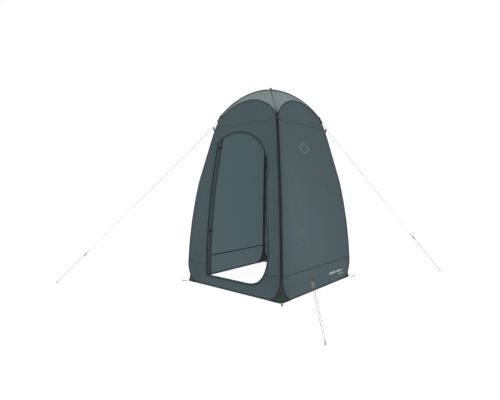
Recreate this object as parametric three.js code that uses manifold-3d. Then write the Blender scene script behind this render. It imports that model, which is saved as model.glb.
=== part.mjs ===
// Pop-up privacy shower tent, pitched with its door rolled back. Millimetres, +Z up.
// Origin on the ground at the centre of the square footprint; the door wall faces -Y.
import * as THREE from 'three';
import { mergeVertices } from 'three/addons/utils/BufferGeometryUtils.js';
import Module from 'manifold-3d';

const wasm = await Module();
wasm.setup();

// Whole tent
const cornerHalf = 600;        // ground corners, half the footprint
const cornerFlare = 2;         // the corners stand out from the walls by this
const splitHeight = 190;       // the hoops part below this, towards the hem
const shoulderHeight = 1600;   // the walls end here and the roof starts
const shoulderHalf = 384;      // half width between opposite walls at the shoulder
const lowerBow = 56;           // how far the walls bulge from straight, lower third
const upperBow = 62;           // and upper third
const crownRise = 343;         // from the shoulders up to the roof arch's centre line at the apex
const ridgeRise = 110;         // length of the arch's steep start above the shoulder
const ridgeFlat = 190;         // length of the arch's flat stretch beside the apex
const gussetPinch = 14;        // how far a lower corner draws in between the ground and the split
const gussetTop = 22;          // its cloth ends this far below the split
const fabric = 2;              // thickness of a cloth solid
const gap = 0.5;               // clearance between pieces that are sewn together
const footHalf = cornerHalf - cornerFlare;
const ridgeTop = shoulderHeight + crownRise;

// Hoops of spring steel, each in a folded binding
const rodRadius = 1.8;
const bindingHalf = 6;         // half the outer width of a binding
const bindingWall = 2;
const bindingChamfer = 2;
const hoopRise = 180;          // from the shoulders up to the top of each wall's arch
const springDrop = 40;         // the hoop starts to curve in this far below the shoulders
const hemRun = 130;            // run of each lower hoop corner along the hem
const hemLift = 0.5;           // bindings clear the ground by this
const rodEndGap = 2;           // between the two ends of a hoop's rod
const ferruleLength = 40;
const ferruleRadius = 3.2;
const ferruleClear = 0.35;
const goreStart = 14;          // degrees round a wall's arch, where its roof gore starts
const goreLift = bindingHalf + 3;     // from an arch's centre line to the gore over it
const goreBack = bindingHalf + 1.5;   // from the roof arch's centre line to the gores beside it
const seamBack = 1.2;          // from a plain roof seam to the gores beside it
const hoopTop = shoulderHeight + hoopRise;
const archSpring = shoulderHeight - springDrop;

// Strap loop on the apex
const apexWidth = 18;
const apexHeight = 15;
const apexDepth = 12;
const apexWall = 2.5;

// Door opening in the front wall, with its zip
const archPlaneLow = 1000;     // the wall is flat between these two heights
const archPlaneHigh = 1500;
const lowerPanels = 4;         // straight stretches of wall from the split up to the flat part
const sheetOverTop = 40;       // wall cloth is drawn this far past the hoop before it is cut
const doorArchX = -70;         // centre of the door's round top
const doorArchZ = 1040;
const doorArchRadius = 442;
const doorArchStart = 121;     // degrees, upper end of the zip
const doorArchEnd = -7;        // degrees, where the straight side starts
const doorSideX = 447;         // right side of the opening, low down
const doorSideLow = 400;       // the lower corner starts here
const sillHeight = 105;
const sillCornerRun = 227;
const doorHingeX = -315;       // left edge, where the door is sewn on
const zipWidth = 10;
const zipThickness = 2.4;
const sliderAngle = 116;       // degrees, where the slider is parked
const sliderLength = 14;
const sliderPlate = 1.5;
const sliderClear = 0.8;
const bridgeHeight = 4.2;
const bridgeLength = 9;
const bridgeWidth = 2;
const bridgeWall = 1.4;
const pullLength = 34;
const pullWidth = 9;
const pullWall = 1.4;
const pullEye = 5;

// Rolled door and its ties
const rollRadius = 14;
const rollFromHinge = 21;      // from the opening's left edge to the centre line of the roll
const rollClear = 5;           // from the wall to the roll behind it
const rollLow = 112;
const rollOver = 20;           // the roll stands this far above the upper end of the zip
const lowerTie = 530;          // height of the lower tie
const upperTieDrop = 75;       // the upper tie sits this far below the upper end of the zip
const tieWidth = 15;
const tieWall = 1.6;
const tieClear = 1.6;          // the strap goes round the roll with this much room
const toggleLength = 30;
const toggleRadius = 4;
const toggleWaist = 2.6;
const toggleClear = 1.4;       // between a toggle and the strap behind it

// Guy lines, tabs and pegs
const cordRadius = 1.25;
const strandGap = 11;          // between the two strands below the runner
const tabDrop = 60;            // tabs sit this far below the shoulders
const tabReach = 26;
const tabWidth = 16;
const tabWall = 3;
const tabHole = 4.5;           // radius of the eye that the line runs through
const tabTilt = 39;            // degrees, how far the tab points up
const anchorRise = 60;         // the line is tied on this far above the shoulders
const anchorSize = 26;
const anchorWall = 2.4;
const tieLift = 2.2;           // the cord's knot stands this far off its patch
const runnerLength = 40;
const runnerWidth = 20;
const runnerThickness = 8;
const runnerBore = 2.1;
const runnerChamfer = 2.5;
const tailLength = 24;         // cord left above the runner
const pegRadius = 2;
const pegRise = 24;            // shaft that stands out of the ground
const pegHook = 7;             // bend radius of the hook
const pegTip = 6;
const loopWidth = 14;
const loopReach = 52;
const loopWall = 2.5;
const loopHole = 4.4;
const tabHeight = shoulderHeight - tabDrop;
const anchorHeight = shoulderHeight + anchorRise;
const guys = [
  { name: 'front_right', corner: 0, peg: [1290, -1065], runnerAt: 0.80 },
  { name: 'back_right', corner: 1, peg: [1300, 1410], runnerAt: 0.75 },
  { name: 'front_left', corner: 3, peg: [-1501, -1490], runnerAt: 0.82 },
];

const wallNames = ['front', 'right', 'back', 'left'];
const cornerNames = ['front_right', 'back_right', 'back_left', 'front_left'];
const quarter = Math.PI / 2;
const rad = (degrees) => THREE.MathUtils.degToRad(degrees);
const up = new THREE.Vector3(0, 0, 1);

function finish(color, roughness, metalness = 0) {
  return new THREE.MeshStandardMaterial({ color, roughness, metalness });
}

const cloth = () => finish(0x5a6e72, 0.85);
const roofCloth = () => finish(0x768485, 0.85);
const binding = () => finish(0x2b3338, 0.8);
const webbing = () => finish(0x24282b, 0.9);
const steel = () => finish(0x9aa0a3, 0.35, 0.9);
const cordCloth = () => finish(0xb5502e, 0.8);
const darkPlastic = () => finish(0x1d2225, 0.5);
const greyPlastic = () => finish(0x55585a, 0.5);

const group = new THREE.Group();

function add(parent, name, geometry, material) {
  const mesh = new THREE.Mesh(geometry, material);
  mesh.name = name;
  parent.add(mesh);
  return mesh;
}

// Solids: three.js geometry to manifold and back, for cuts and joins

function toSolid(geometry) {
  const bare = geometry.clone();
  bare.deleteAttribute('normal');
  bare.deleteAttribute('uv');
  const merged = mergeVertices(bare, 1e-4);
  return new wasm.Manifold(new wasm.Mesh({
    numProp: 3,
    vertProperties: new Float32Array(merged.attributes.position.array),
    triVerts: new Uint32Array(merged.index.array),
  }));
}

function toGeometry(solid) {
  const mesh = solid.getMesh();
  const geometry = new THREE.BufferGeometry();
  geometry.setAttribute('position', new THREE.BufferAttribute(new Float32Array(mesh.vertProperties), 3));
  geometry.setIndex(new THREE.BufferAttribute(new Uint32Array(mesh.triVerts), 1));
  geometry.computeVertexNormals();
  return geometry;
}

// A smooth curve whose steps fall on its own points, so bends get short steps
class Route extends THREE.CatmullRomCurve3 {
  getUtoTmapping(u) {
    return u;
  }
}

function sweep(section, points) {
  return new THREE.ExtrudeGeometry(section, { steps: points.length - 1, extrudePath: new Route(points) });
}

function slab(outline, depth) {
  return new THREE.ExtrudeGeometry(outline, { depth, bevelEnabled: false, curveSegments: 4 });
}

function polygon(corners) {
  return new THREE.Shape(corners.map(([x, y]) => new THREE.Vector2(x, y)));
}

function roundSection(radius, sides) {
  const turn = (i) => ((i + 0.5) / sides) * 2 * Math.PI;
  const corner = (_, i) => [radius * Math.cos(turn(i)), radius * Math.sin(turn(i))];
  return polygon(Array.from({ length: sides }, corner));
}

function roundHole(radius, sides, x = 0, y = 0) {
  const turn = (i) => -((i + 0.5) / sides) * 2 * Math.PI;
  const corner = (_, i) => new THREE.Vector2(x + radius * Math.cos(turn(i)), y + radius * Math.sin(turn(i)));
  return new THREE.Path(Array.from({ length: sides }, corner));
}

// Folded binding: a U with its mouth towards the cloth
function bindingSection() {
  const h = bindingHalf;
  const inner = h - bindingWall;
  const c = bindingChamfer;
  return polygon([
    [-h, -h], [h - c, -h], [h, -h + c], [h, h - c], [h - c, h], [-h, h],
    [-h, inner], [inner, inner], [inner, -inner], [-h, -inner],
  ]);
}

// Tent outline

function cubic(t, a, b, c, d) {
  const s = 1 - t;
  return s * s * s * a + 3 * s * s * t * b + 3 * s * t * t * c + t * t * t * d;
}

// Half width between opposite walls at a height, as a smooth bow
function bowedHalf(z) {
  const t = (z - splitHeight) / (shoulderHeight - splitHeight);
  const lower = footHalf + (shoulderHalf - footHalf) / 3 + lowerBow;
  const upper = footHalf + (shoulderHalf - footHalf) * 2 / 3 + upperBow;
  if (t <= 0) return footHalf;
  if (t <= 1) return cubic(t, footHalf, lower, upper, shoulderHalf);
  return shoulderHalf + 3 * (shoulderHalf - upper) * (t - 1);
}

const panelHeight = (archPlaneLow - splitHeight) / lowerPanels;
const wallLevels = [0];
for (let i = 0; i < lowerPanels; i += 1) wallLevels.push(splitHeight + i * panelHeight);
wallLevels.push(archPlaneLow, archPlaneHigh, shoulderHeight, hoopTop + sheetOverTop);

// The same, straight between the levels, which is what every wall piece follows
function wallHalf(z) {
  let i = 1;
  while (i < wallLevels.length - 1 && wallLevels[i] < z) i += 1;
  const low = wallLevels[i - 1];
  const high = wallLevels[i];
  return THREE.MathUtils.mapLinear(z, low, high, bowedHalf(low), bowedHalf(high));
}

const bindingInset = 2 * bindingHalf;       // hoop centre line in from the corner
const hemHeight = bindingHalf + hemLift;    // hoop centre line over the ground
const hoopSide = (z) => wallHalf(z) - bindingInset;

// A point of a hoop's round top, in X and Z; the turn runs from the right side over to the left
function hoopArch(turn) {
  const z = archSpring + (hoopTop - archSpring) * Math.sin(turn);
  return [hoopSide(z) * Math.cos(turn), z];
}

// A hoop's centre line in its wall, in X and Z, from the right end of the hem round to the left end
function hoopLoop() {
  const right = [];
  const hemX = footHalf - bindingInset - hemRun;
  const hemSteps = 6;
  for (let i = 0; i <= hemSteps; i += 1) {
    const turn = (i / hemSteps) * quarter;
    right.push([hemX + hemRun * Math.sin(turn), splitHeight - (splitHeight - hemHeight) * Math.cos(turn)]);
  }
  for (const z of wallLevels) {
    if (z > splitHeight && z < archSpring) right.push([hoopSide(z), z]);
  }
  const archSteps = 8;
  for (let i = 0; i < archSteps; i += 1) right.push(hoopArch((i / archSteps) * quarter));
  const left = right.slice().reverse().map(([x, z]) => [-x, z]);
  return [...right, [0, hoopTop], ...left];
}

// A closed outline that runs anticlockwise, moved inwards
function moveInwards(loop, distance) {
  return loop.map(([x, z], i) => {
    const before = loop[(i + loop.length - 1) % loop.length];
    const after = loop[(i + 1) % loop.length];
    const into = new THREE.Vector2(x - before[0], z - before[1]).normalize();
    const away = new THREE.Vector2(after[0] - x, after[1] - z).normalize();
    const along = into.clone().add(away).normalize();
    const reach = distance / along.dot(away);
    return [x - along.y * reach, z + along.x * reach];
  });
}

function hoopRoute(endGap) {
  const loop = [[endGap / 2, hemHeight], ...hoopLoop(), [-endGap / 2, hemHeight]];
  return loop.map(([x, z]) => new THREE.Vector3(x, -wallHalf(z), z));
}

// A sheet that follows the wall, cut to an outline drawn in X and Z
function wallSheet(outline, thickness) {
  const levels = wallLevels;
  const width = 4 * cornerHalf;
  const sheet = new THREE.BoxGeometry(width, thickness, levels.length - 1, 1, 1, levels.length - 1);
  const place = sheet.attributes.position;
  for (let i = 0; i < place.count; i += 1) {
    const z = levels[Math.round(place.getZ(i) + (levels.length - 1) / 2)];
    place.setXYZ(i, place.getX(i), place.getY(i) - wallHalf(z), z);
  }
  return toSolid(sheet).intersect(prism(outline));
}

// The outline drawn in X and Z, run through the whole front wall along Y
function prism(outline) {
  const block = new THREE.ExtrudeGeometry(outline, { depth: 2 * cornerHalf, bevelEnabled: false });
  block.rotateX(quarter);
  return toSolid(block);
}

// Door opening

const archTilt = Math.atan2(wallHalf(archPlaneLow) - wallHalf(archPlaneHigh), archPlaneHigh - archPlaneLow);

// A point of the door's round top, in X and Z
function doorArch(degrees, offset = 0) {
  const radius = doorArchRadius + offset;
  const x = doorArchX + radius * Math.cos(rad(degrees));
  return [x, doorArchZ + radius * Math.cos(archTilt) * Math.sin(rad(degrees))];
}

// The zip's centre line moved outwards by an offset, from its upper end to its lower end
function zipLine(offset) {
  const points = [];
  const steps = 32;
  for (let i = 0; i <= steps; i += 1) {
    points.push(doorArch(THREE.MathUtils.lerp(doorArchStart, doorArchEnd, i / steps), offset));
  }
  const cornerSteps = 7;
  const side = doorSideX + offset;
  const sill = sillHeight - offset;
  for (let i = 0; i <= cornerSteps; i += 1) {
    const t = i / cornerSteps;
    const x = cubic(t, side, side, side - sillCornerRun / 3, side - sillCornerRun);
    points.push([x, cubic(t, doorSideLow, doorSideLow - (doorSideLow - sill) * 2 / 3, sill, sill)]);
  }
  points.push([doorHingeX, sill]);
  return points;
}

function doorOutline(offset) {
  const line = zipLine(offset);
  return polygon([...line, [doorHingeX, line[0][1]]].reverse());
}

// Crown of the tent in the vertical plane of a corner: the bowed arch, or the straight seam between arches

function archPoint(t) {
  const rise = ridgeRise;
  const lean = (shoulderHalf - bowedHalf(shoulderHeight + rise));
  const half = cubic(t, shoulderHalf, shoulderHalf - lean, ridgeFlat, 0);
  const z = cubic(t, shoulderHeight, shoulderHeight + rise, ridgeTop, ridgeTop);
  return [half, z];
}

function seamPoint(t) {
  return [THREE.MathUtils.lerp(shoulderHalf, 0, t), THREE.MathUtils.lerp(shoulderHeight, ridgeTop, t)];
}

// A point over corner 0, the front right one, from its distance out along each wall
const overCorner = (half, z) => new THREE.Vector3(half, -half, z);

function crownFrame(crown, height) {
  let low = 0;
  let high = 1;
  for (let i = 0; i < 40; i += 1) {
    const middle = (low + high) / 2;
    if (crown(middle)[1] < height) low = middle;
    else high = middle;
  }
  const here = overCorner(...crown(low));
  const along = overCorner(...crown(low + 0.02)).sub(here).normalize();
  const across = new THREE.Vector3(1, 1, 0).normalize();
  const out = new THREE.Vector3().crossVectors(along, across).normalize();
  if (out.z < 0) out.negate();
  return { here, along, across, out };
}

// Builders, each for the front wall or for corner 0

function hoopRod() {
  return sweep(roundSection(rodRadius, 6), hoopRoute(rodEndGap));
}

function hoopBinding() {
  return sweep(bindingSection(), hoopRoute(gap));
}

function hoopFerrule() {
  const tube = roundSection(ferruleRadius, 8);
  tube.holes.push(roundHole(rodRadius + ferruleClear, 8));
  const geometry = new THREE.ExtrudeGeometry(tube, { depth: ferruleLength, bevelEnabled: false });
  geometry.rotateY(quarter);
  geometry.translate(-ferruleLength / 2, -wallHalf(hemHeight), hemHeight);
  return geometry;
}

function wallCloth(withDoor) {
  const outline = polygon(moveInwards(hoopLoop(), bindingHalf + 2 * gap));
  const sheet = wallSheet(outline, fabric);
  return toGeometry(withDoor ? sheet.subtract(prism(doorOutline(zipWidth / 2 + gap))) : sheet);
}

function doorZip() {
  const line = [...zipLine(zipWidth / 2), ...zipLine(-zipWidth / 2).reverse()];
  return toGeometry(wallSheet(polygon(line.reverse()), zipThickness));
}

// A sheet on a grid of corners; both its faces are cut along the same diagonals, so they stay parallel
function gridSheet(across, between, placeAt) {
  const positions = [];
  for (const side of [0.5, -0.5]) {
    for (let j = 0; j <= between; j += 1) {
      for (let i = 0; i <= across; i += 1) positions.push(...placeAt(i, j, side).toArray());
    }
  }
  const columns = across + 1;
  const corner = (i, j, under) => (under * (between + 1) + j) * columns + i;
  const index = [];
  const quad = (a, b, c, d) => index.push(a, b, c, a, c, d);
  for (let j = 0; j < between; j += 1) {
    for (let i = 0; i < across; i += 1) {
      quad(corner(i, j, 0), corner(i + 1, j, 0), corner(i + 1, j + 1, 0), corner(i, j + 1, 0));
      quad(corner(i + 1, j + 1, 1), corner(i + 1, j, 1), corner(i, j, 1), corner(i, j + 1, 1));
    }
  }
  for (let i = 0; i < across; i += 1) {
    quad(corner(i, 0, 1), corner(i + 1, 0, 1), corner(i + 1, 0, 0), corner(i, 0, 0));
    quad(corner(i, between, 0), corner(i + 1, between, 0), corner(i + 1, between, 1), corner(i, between, 1));
  }
  for (let j = 0; j < between; j += 1) {
    quad(corner(0, j, 0), corner(0, j + 1, 0), corner(0, j + 1, 1), corner(0, j, 1));
    quad(corner(across, j, 1), corner(across, j + 1, 1), corner(across, j + 1, 0), corner(across, j, 0));
  }
  const geometry = new THREE.BufferGeometry();
  geometry.setAttribute('position', new THREE.Float32BufferAttribute(positions, 3));
  geometry.setIndex(index);
  geometry.computeVertexNormals();
  return geometry;
}

// A patch of cloth between two edges, each given by its share from 0 to 1
function clothPatch(edgeA, edgeB, across, between, thickness) {
  const at = (u, v) => edgeA(u).lerp(edgeB(u), v);
  const step = 0.01;
  return gridSheet(across, between, (i, j, side) => {
    const u = i / across;
    const v = j / between;
    const alongU = at(Math.min(u + step, 1), v).sub(at(Math.max(u - step, 0), v));
    const alongV = edgeB(u).sub(edgeA(u));
    const normal = alongU.cross(alongV).normalize();
    return at(u, v).addScaledVector(normal, side * thickness);
  });
}

// Roof gore over the front wall; archLeft says which of its two corners carries the roof arch
function roofGore(archLeft) {
  const start = rad(goreStart);
  const turnAt = (u) => THREE.MathUtils.lerp(start, Math.PI - start, u);
  const lower = (u) => {
    const turn = turnAt(u);
    const [x, z] = hoopArch(turn);
    const [nextX, nextZ] = hoopArch(turn + 0.01);
    const out = new THREE.Vector2(nextZ - z, x - nextX).setLength(goreLift);
    return new THREE.Vector3(x + out.x, -wallHalf(z + out.y), z + out.y);
  };
  const upper = (u) => {
    const turn = turnAt(u);
    const onArch = archLeft ? turn > quarter : turn < quarter;
    const t = 1 - Math.abs(turn - quarter) / quarter;
    const [half, z] = onArch ? archPoint(t) : seamPoint(t);
    const side = onArch === archLeft ? -1 : 1;
    const [back, stop] = onArch ? [goreBack, seamBack] : [seamBack, goreBack];
    const reach = Math.max(half, stop * Math.SQRT1_2);
    const shift = back * Math.SQRT1_2;
    return new THREE.Vector3(side * (reach - shift), -reach - shift, z);
  };
  return clothPatch(lower, upper, 14, 4, fabric);
}

// Lower corner: cloth from one hoop round to the next, flaring to the ground
function cornerGusset() {
  const edge = moveInwards(hoopLoop(), -bindingHalf - 2 * gap);
  const top = splitHeight - gussetTop;
  const levels = edge.map(([, z]) => z).filter((z, i) => i < edge.length / 2 && z > 0 && z < top);
  const rows = [0, ...levels, top];
  const hoopAt = (z) => {
    const i = edge.findIndex((point) => point[1] > z);
    return THREE.MathUtils.mapLinear(z, edge[i - 1][1], edge[i][1], edge[i - 1][0], edge[i][0]);
  };
  return gridSheet(2, rows.length - 1, (i, j, side) => {
    const z = rows[j];
    const corner = cornerHalf - gussetPinch * Math.sin(Math.PI * z / splitHeight);
    const depth = corner - (0.5 - side) * fabric;
    if (i === 0) return new THREE.Vector3(hoopAt(z), -depth, z);
    if (i === 1) return new THREE.Vector3(depth, -depth, z);
    return new THREE.Vector3(depth, -hoopAt(z), z);
  });
}

// From the front left shoulder over the apex to the back right one, drawn along X
function roofArchRoute(inset) {
  const steps = 16;
  const points = [];
  for (let i = 0; i <= 2 * steps; i += 1) {
    const side = i <= steps ? -1 : 1;
    const share = i <= steps ? i / steps : 2 - i / steps;
    const t = THREE.MathUtils.lerp(0.1 + inset, 1, share);
    const [half, z] = archPoint(t);
    points.push(new THREE.Vector3(side * half * Math.SQRT2, 0, z));
  }
  return points;
}

// A path that starts in the XZ plane carries its section turned a quarter, so the section is turned back
function roofArchBinding() {
  const section = bindingSection();
  const points = section.getPoints().map((p) => [p.y, -p.x]);
  return sweep(polygon(points), roofArchRoute(0));
}

// Strap folded into a loop, standing on the apex
function apexLoop() {
  const strapLoop = (half, low, high, from) => {
    const shoulder = low + (high - low) * 0.45;
    from.moveTo(-half, low);
    from.lineTo(half, low);
    from.lineTo(half, shoulder);
    from.quadraticCurveTo(half, high, 0, high);
    from.quadraticCurveTo(-half, high, -half, shoulder);
    from.lineTo(-half, low);
    return from;
  };
  const strap = strapLoop(apexWidth / 2, 0, apexHeight, new THREE.Shape());
  strap.holes.push(strapLoop(apexWidth / 2 - apexWall, apexWall, apexHeight - apexWall, new THREE.Path()));
  const geometry = slab(strap, apexDepth);
  geometry.translate(0, 0, -apexDepth / 2);
  geometry.rotateX(quarter);
  geometry.translate(0, 0, ridgeTop + bindingHalf + gap);
  return geometry;
}

// Guy parts, for corner 0

const diagonal = new THREE.Vector3(1, -1, 0).normalize();

// Origin at the tab's eye; x points out along the tab, z along the eye
function tabFrame() {
  const root = overCorner(wallHalf(tabHeight), tabHeight).addScaledVector(diagonal, 3);
  const tilt = rad(tabTilt);
  const out = diagonal.clone().multiplyScalar(Math.cos(tilt)).addScaledVector(up, Math.sin(tilt));
  const across = new THREE.Vector3(1, 1, 0).normalize();
  const through = new THREE.Vector3().crossVectors(out, across);
  const eye = root.clone().addScaledVector(out, tabReach - tabWidth / 2);
  return { root, out, across, through, eye };
}

function guyTab() {
  const { out, across, through, eye } = tabFrame();
  const half = tabWidth / 2;
  const tongue = new THREE.Shape();
  tongue.moveTo(half - tabReach, -half);
  tongue.lineTo(0, -half);
  tongue.absarc(0, 0, half, -quarter, quarter, false);
  tongue.lineTo(half - tabReach, half);
  tongue.holes.push(roundHole(tabHole, 10));
  const geometry = slab(tongue, tabWall);
  geometry.translate(0, 0, -tabWall / 2);
  geometry.applyMatrix4(new THREE.Matrix4().makeBasis(out, across, through).setPosition(eye));
  return geometry;
}

// Sewn patch that a guy line is tied to: on the arch, or narrow and in the valley between two gores
function anchorFrame(onArch) {
  const frame = crownFrame(onArch ? archPoint : seamPoint, anchorHeight);
  const size = onArch ? anchorSize : anchorSize / 2;
  const lift = (onArch ? bindingHalf + gap : fabric + size * 0.6) + anchorWall / 2;
  return { ...frame, size, here: frame.here.clone().addScaledVector(frame.out, lift) };
}

function guyAnchor(onArch) {
  const { here, size, along, out } = anchorFrame(onArch);
  const low = -size * 0.15;
  const high = size * 0.7;
  const patch = polygon([[-size / 2, low], [size / 2, low], [size / 5, high], [-size / 5, high]]);
  const geometry = new THREE.ExtrudeGeometry(patch, { depth: anchorWall, bevelEnabled: false });
  geometry.translate(0, 0, -anchorWall / 2);
  const side = new THREE.Vector3().crossVectors(along, out);
  geometry.applyMatrix4(new THREE.Matrix4().makeBasis(side, along, out).setPosition(here));
  return geometry;
}

// Straight line from the tab's eye to the peg, in the row frame
function guyLineFrame(guy) {
  const turn = new THREE.Matrix4().makeRotationZ(guy.corner * quarter);
  const eye = tabFrame().eye.clone().applyMatrix4(turn);
  const peg = new THREE.Vector3(guy.peg[0], guy.peg[1], 13);
  const along = peg.clone().sub(eye).normalize();
  const across = new THREE.Vector3().crossVectors(along, up).normalize();
  const over = new THREE.Vector3().crossVectors(across, along);
  const runner = eye.clone().lerp(peg, guy.runnerAt);
  const onArch = guy.corner % 2 === 1;
  const anchor = anchorFrame(onArch);
  const tie = anchor.here.clone().addScaledVector(anchor.out, anchorWall / 2 + cordRadius + tieLift);
  return { eye, peg, along, across, over, runner, tie: tie.applyMatrix4(turn) };
}

// Tied end, tab, runner, round the peg and back through the runner
function guyRoute(guy) {
  const { eye, peg, along, across, runner, tie } = guyLineFrame(guy);
  const half = strandGap / 2;
  const points = [tie];
  for (const share of [0.35, 0.85, 1]) points.push(tie.clone().lerp(eye, share));
  for (const share of [0.02, 0.25, 0.5, 0.75]) points.push(eye.clone().lerp(runner, share));
  const spread = (point, side) => point.clone().addScaledVector(across, side * half);
  const near = runner.clone().addScaledVector(along, -runnerLength * 1.6);
  points.push(near.clone().addScaledVector(along, -60));
  points.push(spread(near, 1).addScaledVector(across, -half * 0.15));
  points.push(spread(runner.clone().addScaledVector(along, -runnerLength * 0.7), 1));
  points.push(spread(runner.clone().addScaledVector(along, runnerLength * 0.7), 1));
  const turnStart = peg.clone().addScaledVector(along, -half);
  points.push(spread(runner.clone().lerp(turnStart, 0.5), 1));
  const bendSteps = 8;
  for (let i = 0; i <= bendSteps; i += 1) {
    const turn = (i / bendSteps) * Math.PI;
    const bend = turnStart.clone().addScaledVector(across, half * Math.cos(turn));
    points.push(bend.addScaledVector(along, half * Math.sin(turn)));
  }
  points.push(spread(runner.clone().lerp(turnStart, 0.5), -1));
  points.push(spread(runner.clone().addScaledVector(along, runnerLength * 0.7), -1));
  points.push(spread(runner.clone().addScaledVector(along, -runnerLength / 2 - tailLength), -1));
  return points;
}

function guyRunner(guy) {
  const { along, across, over, runner } = guyLineFrame(guy);
  const w = runnerWidth / 2;
  const t = runnerThickness / 2;
  const c = runnerChamfer;
  const lower = [[-w, -t + c], [-w + c, -t], [w - c, -t], [w, -t + c]];
  const block = polygon([...lower, ...lower.map(([x, y]) => [-x, -y])]);
  for (const side of [-1, 1]) block.holes.push(roundHole(runnerBore, 8, side * strandGap / 2));
  const geometry = new THREE.ExtrudeGeometry(block, { depth: runnerLength, bevelEnabled: false });
  geometry.translate(0, 0, -runnerLength / 2);
  const turn = new THREE.Matrix4().makeBasis(across, over.clone().negate(), along);
  geometry.applyMatrix4(turn.setPosition(runner));
  return geometry;
}

// Steel peg down to the ground line, leaning out, with its hook turned back to the tent
function peg(out, foot) {
  const lean = out.clone().multiplyScalar(Math.SQRT1_2).addScaledVector(up, Math.SQRT1_2);
  const back = up.clone().multiplyScalar(Math.SQRT1_2).addScaledVector(out, -Math.SQRT1_2);
  const base = foot.clone().setZ(pegRadius * Math.SQRT1_2 + 0.05);
  const points = [base, base.clone().addScaledVector(lean, pegRise / 2)];
  const centre = base.clone().addScaledVector(lean, pegRise).addScaledVector(back, pegHook);
  const bendSteps = 6;
  for (let i = 0; i <= bendSteps; i += 1) {
    const turn = (i / bendSteps) * Math.PI;
    const bend = centre.clone().addScaledVector(back, -pegHook * Math.cos(turn));
    points.push(bend.addScaledVector(lean, pegHook * Math.sin(turn)));
  }
  points.push(centre.clone().addScaledVector(back, pegHook).addScaledVector(lean, -pegTip));
  return sweep(roundSection(pegRadius, 6), points);
}

function guyPeg(guy) {
  const { peg: bend, along } = guyLineFrame(guy);
  const out = along.clone().setZ(0).normalize();
  const inset = strandGap / 2 - cordRadius - pegRadius - gap;
  const inTurn = bend.clone().addScaledVector(along, inset - strandGap / 2);
  const foot = inTurn.clone().addScaledVector(out, -inTurn.z);
  return peg(out, foot);
}

function pegLoop() {
  const half = loopWidth / 2;
  const start = -loopReach + 4;
  const strap = new THREE.Shape();
  strap.moveTo(start, -half);
  strap.lineTo(0, -half);
  strap.absarc(0, 0, half, -quarter, quarter, false);
  strap.lineTo(start, half);
  strap.holes.push(roundHole(loopHole, 8));
  const geometry = slab(strap, loopWall);
  geometry.rotateZ(-quarter / 2);
  const eye = overCorner(cornerHalf, gap).addScaledVector(diagonal, loopReach - 2);
  geometry.translate(eye.x, eye.y, eye.z);
  return geometry;
}

function cornerPeg() {
  const eye = overCorner(cornerHalf, 0).addScaledVector(diagonal, loopReach - 2 - loopWall);
  return peg(diagonal, eye);
}

// Frame at an angle of the door's arch: x along the travel, y out of the wall, z away from the arch centre

function archFrame(degrees) {
  const normal = new THREE.Vector3(0, -Math.cos(archTilt), Math.sin(archTilt));
  const riseWay = new THREE.Vector3(0, Math.sin(archTilt), Math.cos(archTilt));
  const outward = new THREE.Vector3(Math.cos(rad(degrees)), 0, 0);
  outward.addScaledVector(riseWay, Math.sin(rad(degrees)));
  const travel = new THREE.Vector3().crossVectors(normal, outward);
  const [x, z] = doorArch(degrees);
  const place = new THREE.Vector3(x, -wallHalf(z), z);
  return new THREE.Matrix4().makeBasis(travel, normal, outward).setPosition(place);
}

function boxSolid(low, high) {
  const size = high.map((value, i) => value - low[i]);
  const box = new THREE.BoxGeometry(...size);
  box.translate(...high.map((value, i) => (value + low[i]) / 2));
  return toSolid(box);
}

const slotHalf = zipThickness / 2 + sliderClear;
const sliderFace = slotHalf + sliderPlate;

function zipSlider() {
  const long = sliderLength / 2;
  const edge = -zipWidth / 2 - sliderClear;
  const body = boxSolid([-long, -sliderFace, edge - sliderPlate], [long, sliderFace, 2]);
  const slot = boxSolid([-long - 1, -slotHalf, edge], [long + 1, slotHalf, 3]);
  const half = bridgeLength / 2;
  const top = sliderFace + bridgeHeight;
  const centre = (edge - sliderPlate + 2) / 2;
  const side = bridgeWidth / 2;
  const bridge = boxSolid([-half, sliderFace - 0.2, centre - side], [half, top, centre + side]);
  const underTop = top - bridgeWall;
  const underEnd = half - bridgeWall;
  const under = boxSolid([-underEnd, sliderFace, centre - 3], [underEnd, underTop, centre + 3]);
  const solid = body.subtract(slot).add(bridge.subtract(under));
  const geometry = toGeometry(solid);
  geometry.applyMatrix4(archFrame(sliderAngle));
  return geometry;
}

// Axis of the pull: along the slider's own z, under the bridge
const pullCentre = (-zipWidth / 2 - sliderClear - sliderPlate + 2) / 2;
const pullLift = sliderFace + (bridgeHeight - bridgeWall) / 2;

function zipPull() {
  const w = pullWidth / 2;
  const bar = pullWall / 2;
  const tip = [[pullLength - 3, -w], [pullLength, -w + 2], [pullLength, w - 2], [pullLength - 3, w]];
  const plate = polygon([[-bar, -w], ...tip, [-bar, w]]);
  const eyeSide = bridgeWidth / 2 + 0.9;
  const eye = [[bar, -eyeSide], [bar, eyeSide], [bar + pullEye, eyeSide], [bar + pullEye, -eyeSide]];
  plate.holes.push(new THREE.Path(eye.map(([x, y]) => new THREE.Vector2(x, y))));
  const geometry = new THREE.ExtrudeGeometry(plate, { depth: pullWall, bevelEnabled: false });
  geometry.translate(0, 0, -pullWall / 2);
  const local = new THREE.Matrix4().makeBasis(
    new THREE.Vector3(1, 0, 0),
    new THREE.Vector3(0, 0, 1),
    new THREE.Vector3(0, -1, 0),
  ).setPosition(0, pullLift, pullCentre);
  geometry.applyMatrix4(local);
  geometry.applyMatrix4(archFrame(sliderAngle));
  return geometry;
}

// Rolled door, ties and toggles

const rollX = doorHingeX + rollFromHinge;
const rollBehind = rollRadius + rollClear;
const zipTop = doorArch(doorArchStart)[1];
const rollHigh = zipTop + rollOver;
const tieHeights = { lower: lowerTie, upper: zipTop - upperTieDrop };
const rollPoint = (z) => new THREE.Vector3(rollX, -wallHalf(z) + rollBehind, z);

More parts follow.
